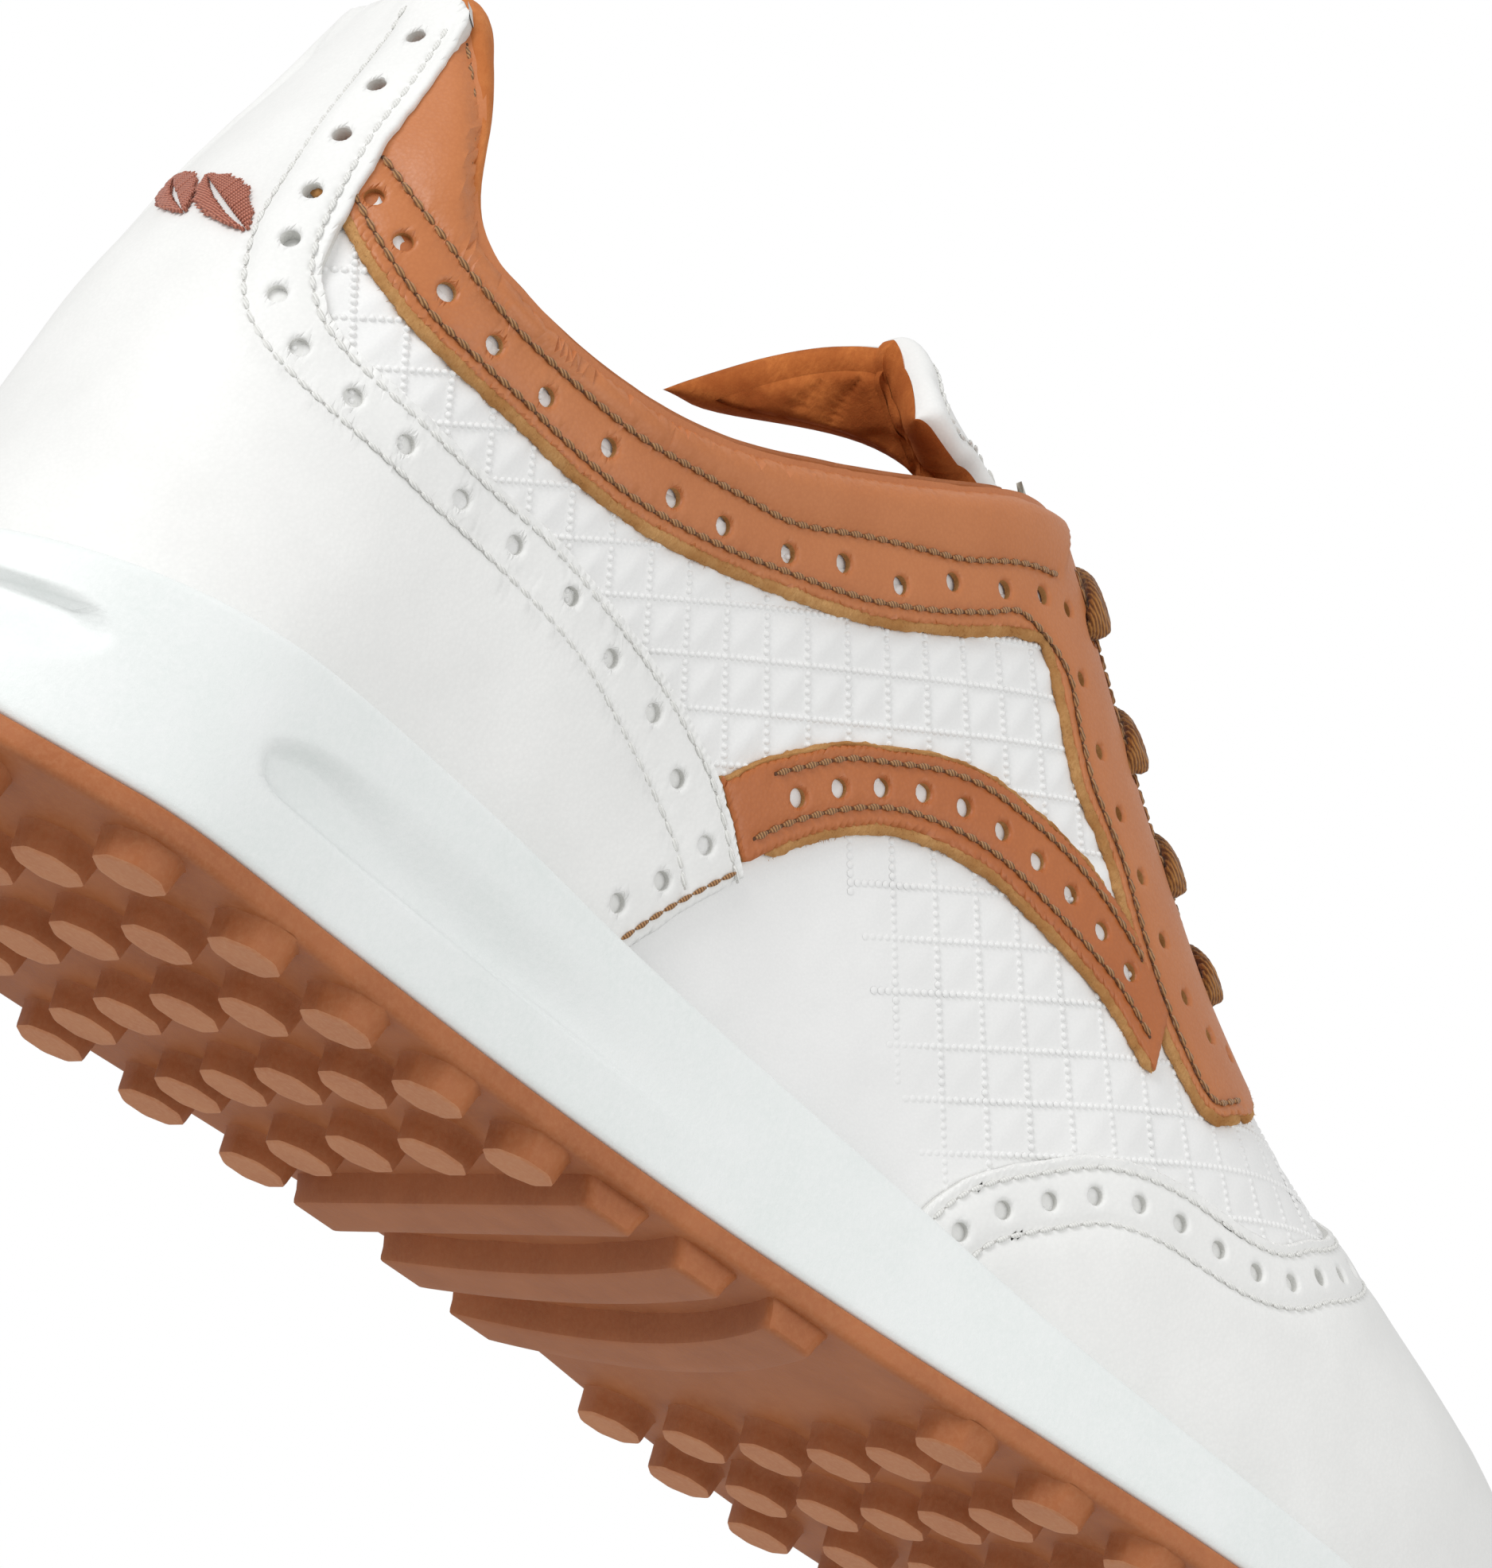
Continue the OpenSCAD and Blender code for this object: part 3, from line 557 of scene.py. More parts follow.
TEXTILE = thread("textile_lining", (214, 208, 196), (176, 170, 158), 0.85, 1.6, 0.78)
W_THREAD = thread("white_thread", (244, 244, 241), (222, 222, 218))
B_THREAD = thread("brown_thread", (190, 142, 92), (112, 74, 42))
EMB = thread("embroidery_thread", (206, 132, 108), (150, 82, 64), 0.5, 3.2)
LACE = thread("lace_cord", (176, 120, 58), (112, 66, 26), 0.75, 1.9, 0.6)
# needle pits: blobs whose grey or dark brown colour is painted shade at the stitch ends
PIT_SHADE = rubber("needle_pit_painted_shade", (206, 205, 201), (190, 188, 184), (214, 213, 210))
PIT_SHADE_T = rubber("needle_pit_painted_shade_tan", (96, 58, 32), (72, 42, 22), (110, 70, 40))
GUM = rubber("gum_rubber", (180, 108, 62), (162, 93, 50), (190, 132, 92), dusty=0.35)
TIP = rubber("gum_tip", (204, 136, 92), (190, 120, 78), (210, 156, 120), (0.62, 0.8), 0.6)
MID = rubber("midsole_foam", (238, 241, 240), (232, 237, 235), (244, 246, 245), (0.36, 0.5), 0.5)
BOARD = rubber("insole_board", (196, 182, 150), (176, 160, 128), (150, 134, 104), (0.8, 0.9))
FOAM = rubber("footbed_foam", (222, 220, 214), (206, 204, 198), (190, 188, 182), (0.8, 0.9))
STIFF = rubber("stiffener", (176, 172, 164), (160, 156, 148), (140, 136, 128), (0.7, 0.85))


# ------------------------------------------------------------------ leather panels
def ring_of(centre, mode, r, n=18):
    """circle of radius r on the sheet"""
    pa, _ = jac(centre[None], mode)
    _, nn = skin(centre[None], mode)
    e1 = unit(pa)
    e2 = np.cross(nn, e1)
    a = np.arange(n)[:, None] * 2 * np.pi / n
    return shift(np.repeat(centre[None], n, 0), mode, r * (np.cos(a) * e1 + np.sin(a) * e2))


def inset(loop, mode, d):
    """the closed loop moved inwards by d along the sheet"""
    p, n = skin(loop, mode)
    t = unit(np.roll(p, -1, 0) - np.roll(p, 1, 0))
    for sign in (1, -1):
        q = shift(loop, mode, sign * d * np.cross(n, t))
        if inside(q, loop).mean() > 0.5:
            return q
    return q


def panel(b, mode, edges, holes=(), hole_r=1.4, grid=1.9, o0=0.0, o1=1.2, edge_r=0.45,
          seams=(), relief=None, points=None, mats=(0, 0), rag=0.0, step=1.1, dip=0.3,
          skip=()):
    """one leather piece: an outline of edges, punched holes, rounded rim and sewn dips

    o0 and o1 are its inner and outer offset from the surface, rag is the raggedness of its cut edge,
    and skip names edges that join another piece and so have no rim.
    """
    parts, owner = [], []
    for k, e in enumerate(edges):
        r = along(skin(e, mode)[0], e, step)[:-1]
        parts.append(r)
        owner += [k] * len(r)
    loop = np.vstack(parts)
    owner = np.array(owner)
    free = ~np.isin(owner, skip)
    if rag:
        p, n = skin(loop, mode)
        t = unit(np.roll(p, -1, 0) - np.roll(p, 1, 0))
        amp = rag * (noise(p, 1.7, 3) + 0.6 * noise(p, 5.0, 4)) * free
        loop = shift(loop, mode, amp[:, None] * np.cross(n, t))
    radii = np.broadcast_to(hole_r, len(holes))
    rings = [ring_of(h, mode, r) for h, r in zip(holes, radii)]
    p3 = skin(loop, mode)[0]
    rim3 = p3[free]
    hole3 = np.vstack([skin(r, mode)[0] for r in rings]) if rings else np.zeros((0, 3))
    extra = []
    if edge_r:
        for d in (0.13, 0.45, 0.95):
            q = inset(loop, mode, d * edge_r / 0.45)[free]
            extra.append(q if d < 0.9 else q[::2])
    for h, r in zip(holes, radii):
        extra += [ring_of(h, mode, r + d) for d in (0.16, 0.45, 0.9)]
    seam3 = []
    for sline in seams:
        s3, sn = skin(sline, mode)
        c = along(s3, sline, 0.9)
        c3, cn = skin(c, mode)
        seam3.append(along(s3, s3, 0.3))
        t = unit(np.gradient(c3, axis=0))
        w = np.cross(cn, t)
        extra += [shift(c, mode, k * w) for k in (-1.0, -0.5, 0.0, 0.5, 1.0)]
    seam3 = np.vstack(seam3) if seam3 else np.zeros((0, 3))
    if points is None:
        lo, hi = loop.min(0), loop.max(0)
        mid = loop.mean(0)[None]
        pa, pv = jac(mid, mode)
        ga = grid / max(0.5, np.linalg.norm(pa))
        gv = grid / np.clip(np.linalg.norm(pv), 0.4, 2.2)
        ii, jj = np.meshgrid(np.arange(lo[0], hi[0], ga), np.arange(lo[1], hi[1], gv), indexing="ij")
        ii = ii + (np.arange(ii.shape[1])[None] % 2) * ga / 2
        points = np.stack([ii, jj], -1).reshape(-1, 2)
    extra = np.vstack(extra) if extra else np.zeros((0, 2))
    extra = extra[inside(extra, loop)]
    points = points[inside(points, loop)]
    for r in rings:
        extra = extra[~inside(extra, r)]
        points = points[~inside(points, r)]
    e3 = skin(extra, mode)[0]
    ok = near(e3, np.vstack([p3, hole3])) > 0.07
    extra, e3 = extra[ok], e3[ok]
    ok = near(skin(points, mode)[0], np.vstack([p3, hole3, e3])) > min(0.6, grid * 0.4)
    pts = np.vstack([loop] + rings + [extra, points[ok]])
    nb = len(loop) + sum(len(r) for r in rings)
    cons, start = [], 0
    for r in [loop] + rings:
        n = len(r)
        cons += [(start + k, start + (k + 1) % n) for k in range(n)]
        start += n
    ov, _, of, oi, _, _ = geometry.delaunay_2d_cdt([tuple(p) for p in pts], cons, [], 0, 1e-5)
    tri = np.array(of)
    src = np.array([i[0] if i else -1 for i in oi])
    uv = np.array([tuple(v) for v in ov])
    back = {int(s): k for k, s in enumerate(src) if s >= 0}
    for k, group in enumerate(oi):
        for s in group:
            back[int(s)] = k
    is_b = (src >= 0) & (src < nb)
    doubt = is_b[tri].all(1) | (src[tri] < 0).any(1)
    cen = uv[tri[doubt]].mean(1)
    keep = inside(cen, loop)
    for r in rings:
        keep &= ~inside(cen, r)
    good = np.ones(len(tri), bool)
    good[np.where(doubt)[0][~keep]] = False
    tri = tri[good]
    p, n = skin(uv, mode)
    d_edge = near(p, rim3) if len(rim3) else np.full(len(p), 99.0)
    o = np.full(len(p), float(o1))
    if relief is not None:
        o = o + relief(uv, p)
    if edge_r:
        k = np.clip(1 - d_edge / edge_r, 0, 1)
        o -= edge_r * (1 - np.sqrt(1 - k * k))
    if len(hole3):
        k = np.clip(1 - near(p, hole3) / 0.5, 0, 1)
        o -= 0.42 * (1 - np.sqrt(1 - k * k))
    if len(seam3):
        o -= dip * np.exp(-(near(p, seam3) / 0.75) ** 2)
    b.add(p + o[:, None] * n, tri, mats[0])
    base = b.n - len(p)
    b.add(p + o0 * n, tri[:, ::-1], mats[0])
    low_base = b.n - len(p)
    start = 0
    for ri, r in enumerate([loop] + rings):
        m = len(r)
        idx = np.array([back[start + k] for k in range(m)])
        nxt = np.roll(idx, -1)
        sel = free if ri == 0 else np.ones(m, bool)
        f = np.stack([idx + base, idx + low_base, nxt + low_base, nxt + base], -1)[sel]
        b.more(f, mats[1])
        start += m
    return b


def discs(b, mode, holes, r, o, mat=0, h=0.12):
    """small round grounds seen through punched holes"""
    for c in holes:
        fan(b, skin(ring_of(c, mode, r), mode, o)[0], skin(c, mode, o + h)[0], 1, mat)


def seam(b, mode, line, o, pitch, length, r, mat, pit_shade=None, bow=0.08, lobes=0.16, pit_shade_r=0.34,
         raise_=None):
    """a row of stitches along the line, with a needle pit between each two, a blob whose grey is painted
    shade in the needle hole
    """
    s3 = skin(line, mode, o)[0]
    c, n = skin(along(s3, line, pitch, 0.5), mode, o)
    if raise_:
        c = c + raise_(c)[:, None] * n
    dense = along(s3, s3, 0.4)
    k = np.array([np.argmin(((dense - q) ** 2).sum(1)) for q in c])
    lo = np.clip(k - 2, 0, len(dense) - 1)
    hi = np.clip(k + 2, 0, len(dense) - 1)
    t = unit(dense[hi] - dense[lo])
    w = unit(np.cross(n, t))
    jitter = 1 + 0.05 * noise(c, 1.3, 5)
    v, f = capsule(length, r, 0.75, 2.2, lobes, bow=bow)
    stamp(b, v, f, c, t * jitter[:, None], w, np.cross(t, w), mat)
    # a blob at each needle hole, its colour painted shade
    if pit_shade is not None:
        g, gn = skin(along(s3, line, pitch), mode, o - 0.12)
        if raise_:
            g = g + raise_(g)[:, None] * gn
        dv, df = capsule(pit_shade_r * 2.2, pit_shade_r, 0.55, nu=7, nv=7)
        k = np.clip([np.argmin(((dense - q) ** 2).sum(1)) for q in g], 0, len(dense) - 2)
        tg = unit(dense[k + 1] - dense[k])
        wg = unit(np.cross(gn, tg))
        stamp(b, dv, df, g, tg, wg, np.cross(tg, wg), pit_shade)


def fuzz(b, mode, line, o, wide, high, mat, seed, hairs=True):
    """rough split edge of leather that shows below a cut: a lumpy strip and loose fibres"""
    p, n = skin(along(skin(line, mode)[0], line, 0.32), mode, o)
    t = unit(np.gradient(p, axis=0))
    w = np.cross(n, t)
    m = 9
    a = np.linspace(0, 2 * np.pi, m, endpoint=False)
    q = p[:, None] + (np.cos(a)[None, :, None] * wide * w[:, None]
                      + np.sin(a)[None, :, None] * high * n[:, None])
    rad = unit(q - p[:, None])
    end = np.clip(np.minimum(np.arange(len(p)), np.arange(len(p))[::-1]) / 4.0, 0.1, 1)[:, None, None]
    lumps = 0.16 * noise(q, 0.55, seed) + 0.12 * noise(q, 1.5, seed + 1)
    q = p[:, None] + (q - p[:, None]) * end + rad * lumps[..., None] * end
    b.add(q, quads(len(p), m, wrap_v=True), mat)
    if hairs:
        rs = np.random.RandomState(seed)
        k = rs.randint(0, len(p), len(p) * 3)
        ang = rs.rand(len(k)) * 2 * np.pi
        root = (p[k] + (np.cos(ang) * wide * 0.9)[:, None] * w[k]
                + (np.sin(ang) * high * 0.9)[:, None] * n[k])
        way = unit(np.cos(ang)[:, None] * w[k] + np.sin(ang)[:, None] * n[k]
                   + 0.9 * rs.randn(len(k), 3))
        side = unit(np.cross(way, rs.randn(len(k), 3)))
        ln = (0.25 + 0.35 * rs.rand(len(k)))[:, None]
        v = np.stack([root - 0.05 * side, root + 0.05 * side,
                      root + way * ln + 0.25 * ln * side], 1)
        b.add(v.reshape(-1, 3), np.arange(3 * len(k)).reshape(-1, 3), mat)


# ------------------------------------------------------------------ outlines and seams
def mirror(e):
    """the same line on the other side of the heel"""
    return e * np.array([-1, 1])


def over(e):
    """the same line on the inner side, for sheets that run over the ridge"""
    return e * np.array([1, -1]) + np.array([0, 2 * V])


def inset_line(e, mode, d):
    """open line moved sideways by d; positive moves it to the left of its travel seen from outside"""
    p, n = skin(e, mode)
    t = unit(np.gradient(p, axis=0))
    sg = -1 if mode == "lat" else 1
    return shift(e, mode, -sg * d * np.cross(n, t))


def around(low, high):
    """edges of a strip between two lines"""
    return [low, np.vstack([low[-1], high[-1]]), high[::-1], np.vstack([high[0], low[0]])]


# ------------------------------------------------------------------ heel piece
heel_cut = smooth(xz([(-129.6, 114.3), (-128.2, 111), (-127, 104.3), (-126.1, 97.8),
                      (-125.6, 92), (-124.9, 87.5), (-124.1, 82.5), (-122.9, 75.3),
                      (-121.4, 71.4), (-118, 67.6), (-111.8, 65), (-102.5, 63.4), (-91.5, 62.3),
                      (-81, 61.7), (-70, 59.8), (-58, 57), (-50, 54), (-44, 50.8), (-36, 43.5)]))
heel_front = xz([(-36, 43.5), (-46, 27.8), (-47.5, 24.4)])
heel_rear_st = smooth(xz([(-133.2, 112.5), (-132.4, 101.1), (-131, 88.5), (-129.7, 77),
                          (-127.4, 67.6), (-122.6, 61.6), (-112.2, 57.6), (-98.9, 55.5),
                          (-88, 54.6), (-70, 52), (-55.5, 46.4), (-46.8, 41.7), (-42.8, 38)]))
HEEL_HOLES = xz([(-130.8, 107.2), (-130.1, 98.6), (-129.1, 90.2), (-127.6, 81.5), (-126.3, 74.6),
                 (-124.4, 67.8), (-119.6, 62.8), (-111.9, 60.5), (-103.8, 59.2), (-94, 58),
                 (-84.7, 57.7), (-74.7, 57), (-65.8, 54.2), (-57, 52.4), (-50, 48),
                 (-42.8, 43.7), (-46, 37), (-50, 31.6)])


CUT_3D = np.vstack([skin(heel_cut, m)[0] for m in ("lat", "med")])


def lift(p):
    """the strip at the front edge of the heel piece lies over the tan band"""
    return 1.05 * ease((p[:, 2] - 68) / 8) * ease((11 - near(p, CUT_3D)) / 4)


def heel_piece():
    b = Build()
    foot = np.stack([np.linspace(-q_of(-47.5), q_of(-47.5), 220), np.zeros(220)], -1)
    top = np.array([[q, V * t_of(x_of(abs(q)), curve(TOP_Z, x_of(abs(q))) - 0.6)]
                    for q in np.linspace(q_of(-127.5), -q_of(-127.5), 60)])
    edges = [foot, heel_front[::-1], heel_cut[::-1], top, mirror(heel_cut), mirror(heel_front)]
    high = ease((skin(heel_cut[4:], "lat")[0][:, 2:] - 70) / 15)
    st2 = inset_line(heel_cut[4:], "lat", -1.2 - 0.6 * high)
    seams_ = [heel_rear_st, st2]
    rows = [skin(HEEL_HOLES, m)[0] for m in ("lat", "med")]

    def relief(uv, p):
        strip = np.minimum(near(p, rows[0]), near(p, rows[1]))
        wob = 0.16 * noise(p, 14, 8) + 0.07 * noise(p, 5, 9)
        fold = 0.25 * np.exp(-((p[:, 2] - 44) / 9) ** 2) * noise(p * [1, 1, 0.35], 16, 12)
        return wob + fold + 0.12 * np.exp(-(strip / 2.4) ** 2) + lift(p)

    panel(b, "heel", edges, np.vstack([HEEL_HOLES, mirror(HEEL_HOLES)]), 1.12, 1.5, 0.0, 1.2, 0.5,
          seams=seams_ + [mirror(q) for q in seams_], relief=relief, mats=(0, 1), rag=0.26, dip=0.3)
    for mode in ("lat", "med"):
        for q in seams_:
            if mode == "med":
                q = q[skin(q, mode)[0][:, 2] < 72]  # the inner rows end below the tab
            seam(b, mode, q, 1.02, 2.05, 1.75, 0.29, 2, pit_shade=3, lobes=0.1, pit_shade_r=0.2, raise_=lift)
        for ground, mat in ((HEEL_HOLES[3:15], 0), (HEEL_HOLES[16:], 0), (HEEL_HOLES[:3], 4),
                            (HEEL_HOLES[15:16], 4)):
            discs(b, mode, ground, 1.7, 0.02, mat)
        tack = inset_line(smooth(xz([(-36.6, 42.4), (-46.4, 27.6)])), mode, -1.4)
        seam(b, mode, tack, 1.25, 2.4, 2.2, 0.27, 5, bow=0.15)
    ob = b.make("heel_overlay_piece", [WHITE, CUT_WHITE, W_THREAD, PIT_SHADE, TAN_DEEP, B_THREAD],
                sharp=50)
    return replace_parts(ob, "heel_overlay")


# ------------------------------------------------------------------ embossed grid
# square cells, turned to the slope they have on the shoe, with a fold across each and beads between
CELL, TILT = 6.15, math.radians(29)
BEADS = 6  # to a side of a cell
NX, NT = 260, 160
_P = up(-1, np.linspace(XA, XB, NX)[:, None], np.linspace(0, 1, NT)[None, :])[0]
_S = np.concatenate([np.zeros((NX, 1)), np.cumsum(np.linalg.norm(
    np.diff(_P, axis=1)[..., 1:], axis=-1), 1)], 1)


def arc_up(x, t):
    """height walked along the section from the foot line"""
    fi = np.clip((x - XA) / (XB - XA) * (NX - 1), 0, NX - 1.001)
    fj = np.clip(t * (NT - 1), 0, NT - 1.001)
    i, j = fi.astype(int), fj.astype(int)
    a, c = fi - i, fj - j
    return ((1 - a) * (1 - c) * _S[i, j] + a * (1 - c) * _S[i + 1, j]
            + (1 - a) * c * _S[i, j + 1] + a * c * _S[i + 1, j + 1]) + up_foot(x)


def t_arc(x, h):
    """share of the way to the ridge at a walked height"""
    lo, hi = np.zeros_like(x), np.ones_like(x)
    for _ in range(18):
        m = (lo + hi) / 2
        up_ = arc_up(x, m) < h
        lo, hi = np.where(up_, m, lo), np.where(up_, hi, m)
    return (lo + hi) / 2


def to_pattern(x, h):
    """cell coordinates"""
    c, s = math.cos(TILT), math.sin(TILT)
    return ((x + 20) * c + (h - 60) * s) / CELL, (-(x + 20) * s + (h - 60) * c) / CELL


def from_pattern(a, b_):
    c, s = math.cos(TILT), math.sin(TILT)
    return (a * c - b_ * s) * CELL - 20, (a * s + b_ * c) * CELL + 60


def strength(x, h, kind):
    """how deep the pattern is; it fades towards the sole on the vamp"""
    if kind == "quarter":
        return np.ones_like(x)
    return 0.6 * ease((x + h - 20) / 30)


def puff(a, b_):
    """raised fold from one corner of the cell to the other"""
    fa, fb = a - np.floor(a), b_ - np.floor(b_)
    ridge = np.clip(1 - np.abs(fa - fb) / 0.9, 0, 1)
    rim = np.clip(np.minimum(np.minimum(fa, 1 - fa), np.minimum(fb, 1 - fb)) / 0.5, 0, 1)
    return ridge * rim ** 0.6


def emboss_points(x0, x1, h0, h1):
    """grid points that follow the pattern, as along/height pairs"""
    corners = [to_pattern(np.array(x), np.array(h)) for x in (x0, x1) for h in (h0, h1)]
    a0, a1 = min(c[0] for c in corners), max(c[0] for c in corners)
    b0, b1 = min(c[1] for c in corners), max(c[1] for c in corners)
    A = np.arange(math.floor(a0) * BEADS, math.ceil(a1) * BEADS + 1) / BEADS
    B = np.arange(math.floor(b0) * BEADS, math.ceil(b1) * BEADS + 1) / BEADS
    aa, bb = np.meshgrid(A, B, indexing="ij")
    x, h = from_pattern(aa, bb)
    x, h, aa, bb = x.ravel(), h.ravel(), aa.ravel(), bb.ravel()
    k = (x > x0) & (x < x1) & (h > h0) & (h < h1)
    return x[k], h[k], aa[k], bb[k]


def beads(b, mode, poly, x0, x1, h0, h1, kind, side):
    """rows of small beads along the lines of the pattern"""
    x, h, aa, bb = emboss_points(x0, x1, h0, h1)
    on = (np.abs(aa - np.round(aa)) < 1e-6) | (np.abs(bb - np.round(bb)) < 1e-6)
    on &= h < arc_up(x, np.ones_like(x))
    x, h = x[on], h[on]
    uv = xt(x, t_arc(x, h))
    if mode == "over" and side > 0:
        uv = over(uv)
    p, n = skin(uv, mode)
    ok = inside(uv, poly)
    st = strength(x, h, kind) * (1 + 0.12 * noise(p, 3.0, 6))
    ok &= st > 0.12
    p, n, st = p[ok], n[ok], st[ok]
    ref = np.array([math.cos(TILT), 0, math.sin(TILT)])
    t1 = unit(ref - (n @ ref)[:, None] * n)
    t2 = np.cross(n, t1)
    r = 0.47
    stamp(b, *dome(7), p - 0.08 * n, t1 * r * 1.05, t2 * r, n * (0.42 * st)[:, None])


def emboss_relief(kind, high=0.5):
    """relief of the folds, with a little unevenness"""
    def relief(uv, p):
        x = x_of(np.abs(uv[:, 0]))
        t = np.where(uv[:, 1] <= V, uv[:, 1], 2 * V - uv[:, 1]) / V
        h = arc_up(x, t)
        a, b_ = to_pattern(x, h)
        st = strength(x, h, kind)
        soft = 0.12 * noise(p, 9, 2) + 0.05 * noise(p, 3.2, 3)
        return puff(a, b_) * high * st + soft * (1.2 - 0.5 * st) - 0.05
    return relief


def emboss_uv(x0, x1, h0, h1, sides, mode):
    """sheet coordinates of the pattern's points"""
    x, h, _, _ = emboss_points(x0, x1, h0, h1)
    k = h < arc_up(x, np.ones_like(x)) - 0.3
    uv = xt(x[k], t_arc(x[k], h[k]))
    return np.vstack([uv if s < 0 or mode != "over" else over(uv) for s in sides])


# ------------------------------------------------------------------ leather pieces
def quarter(mode, node):
    def lo(x):
        return np.where(x < -44, t_of(x, curve(HEEL_Z, np.minimum(x, -50)) - 5),
                        t_of(x, curve(STRIPE_LO, x) + 2))

    def hi(x):
        return np.where(x < -9, t_of(x, curve(BAND_Z, x) + 5), curve(FACE_LO, x) + 0.06)
    x = np.linspace(-124, 20, 160)
    edges = around(xt(x, lo(x)), xt(x, hi(x)))
    b = Build()
    panel(b, mode, edges, o0=-1.2, o1=-0.05, edge_r=0, grid=1.1,
          points=emboss_uv(-126, 22, 40, 120, [-1], mode), relief=emboss_relief("quarter"))
    poly = np.vstack([e[:-1] for e in edges])
    beads(b, mode, poly, -126, 22, 40, 120, "quarter", -1)
    ob = b.make(node + "_piece", EMBOSS, sharp=180)
    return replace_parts(ob, node)


def vamp():
    def hi(x):
        return np.where(x < 20, t_of(x, curve(STRIPE_LO, x) + 1.6), np.minimum(
            1, curve(FACE_LO, x) + 0.05 + 0.39 * np.clip((x - 20) / 24, 0, 1) ** 3))
    x = np.linspace(-52, 44, 120)
    back = xt(x, np.minimum(1, hi(x)))
    k = np.linspace(0, 1, 60)
    front = xt(10 + 63 * (curve(CAP_X, k) - 1) / 63, k)
    foot = xt(np.linspace(-52, 10, 80), 0.0)
    rear = np.vstack([back[0], foot[0]])
    edges = [foot, front, over(front)[::-1], over(foot)[::-1], over(rear)[::-1], over(back),
             back[::-1], rear]
    b = Build()
    panel(b, "over", edges, o0=-1.2, o1=-0.05, edge_r=0, grid=1.1,
          points=emboss_uv(-56, 76, 10, 130, [-1, 1], "over"), relief=emboss_relief("vamp", 0.42))
    poly = np.vstack([e[:-1] for e in edges])
    for s in (-1, 1):
        beads(b, "over", poly, -56, 76, 10, 130, "vamp", s)
    ob = b.make("vamp_piece", EMBOSS, sharp=180)
    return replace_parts(ob, "vamp")


def toe_cap():
    k = np.linspace(0, 1, 80)
    cut = xt(curve(CAP_X, k), k)
    foot = xt(np.concatenate([np.linspace(1, 120, 80), x_of(np.linspace(q_of(120), ARC, 30))[1:]]),
              0.0)
    tip = np.stack([np.full(60, ARC), np.linspace(0, 2 * V, 60)], -1)
    edges = [foot, tip, over(foot)[::-1], np.vstack([cut, over(cut)[::-1][1:]])[::-1]]
    both = []
    for d, foot_gap in ((-1.5, 1.0), (-8.2, 1.5)):
        half = inset_line(cut, "lat", d)
        half = half[(half[:, 1] > foot_gap) & (half[:, 1] < V - 0.4)]
        both.append(np.vstack([half, over(half)[::-1]]))
    mid = inset_line(cut, "lat", -4.9)
    mid = mid[mid[:, 1] > 4]
    row = along(skin(mid, "lat")[0], mid, 6.4)
    row = row[row[:, 1] < V - 3]
    holes = np.vstack([row, over(row)])
    b = Build()

    def relief(uv, p):
        d = np.minimum(near(p, skin(both[0], "over")[0]), near(p, skin(both[1], "over")[0]))
        return 0.12 * noise(p, 12, 5) + 0.05 * noise(p, 4, 6) + 0.1 * np.exp(-((d - 3) / 2) ** 2)
    panel(b, "over", edges, holes, 1.12, 1.6, 0.0, 1.2, 0.5, seams=both, relief=relief,
          mats=(0, 1), rag=0.14, skip=(1,))
    for q in both:
        seam(b, "over", q, 1.02, 2.05, 1.75, 0.29, 2, pit_shade=3, lobes=0.1, pit_shade_r=0.2)
    discs(b, "over", holes, 1.7, 0.02, 0)
    ob = b.make("toe_cap_piece", [WHITE, CUT_WHITE, W_THREAD, PIT_SHADE],
                sharp=50, merge=0.02)
    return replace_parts(ob, "toe_cap")


BAND_UP = [(-125, 89.3), (-117.2, 84.5), (-108.1, 80.6), (-99.2, 78.5), (-87.7, 77.8), (-76.5, 77.9),
           (-66.5, 79.4), (-58.6, 80.9), (-50, 82.8), (-41, 87.3), (-31, 92), (-23, 96),
           (-12, 102.3), (-9.5, 103.4)]
BAND_HOLES = [(-123, 84), (-117.3, 80.2), (-109.7, 77.4), (-100.8, 75.4), (-90.9, 74.4),
              (-79.6, 74.5), (-68, 74.8), (-59.4, 76.4), (-49, 79.3), (-41.3, 83.2),
              (-32.6, 86), (-25.5, 91.3), (-17.6, 95.6), (-11.2, 99.2)]


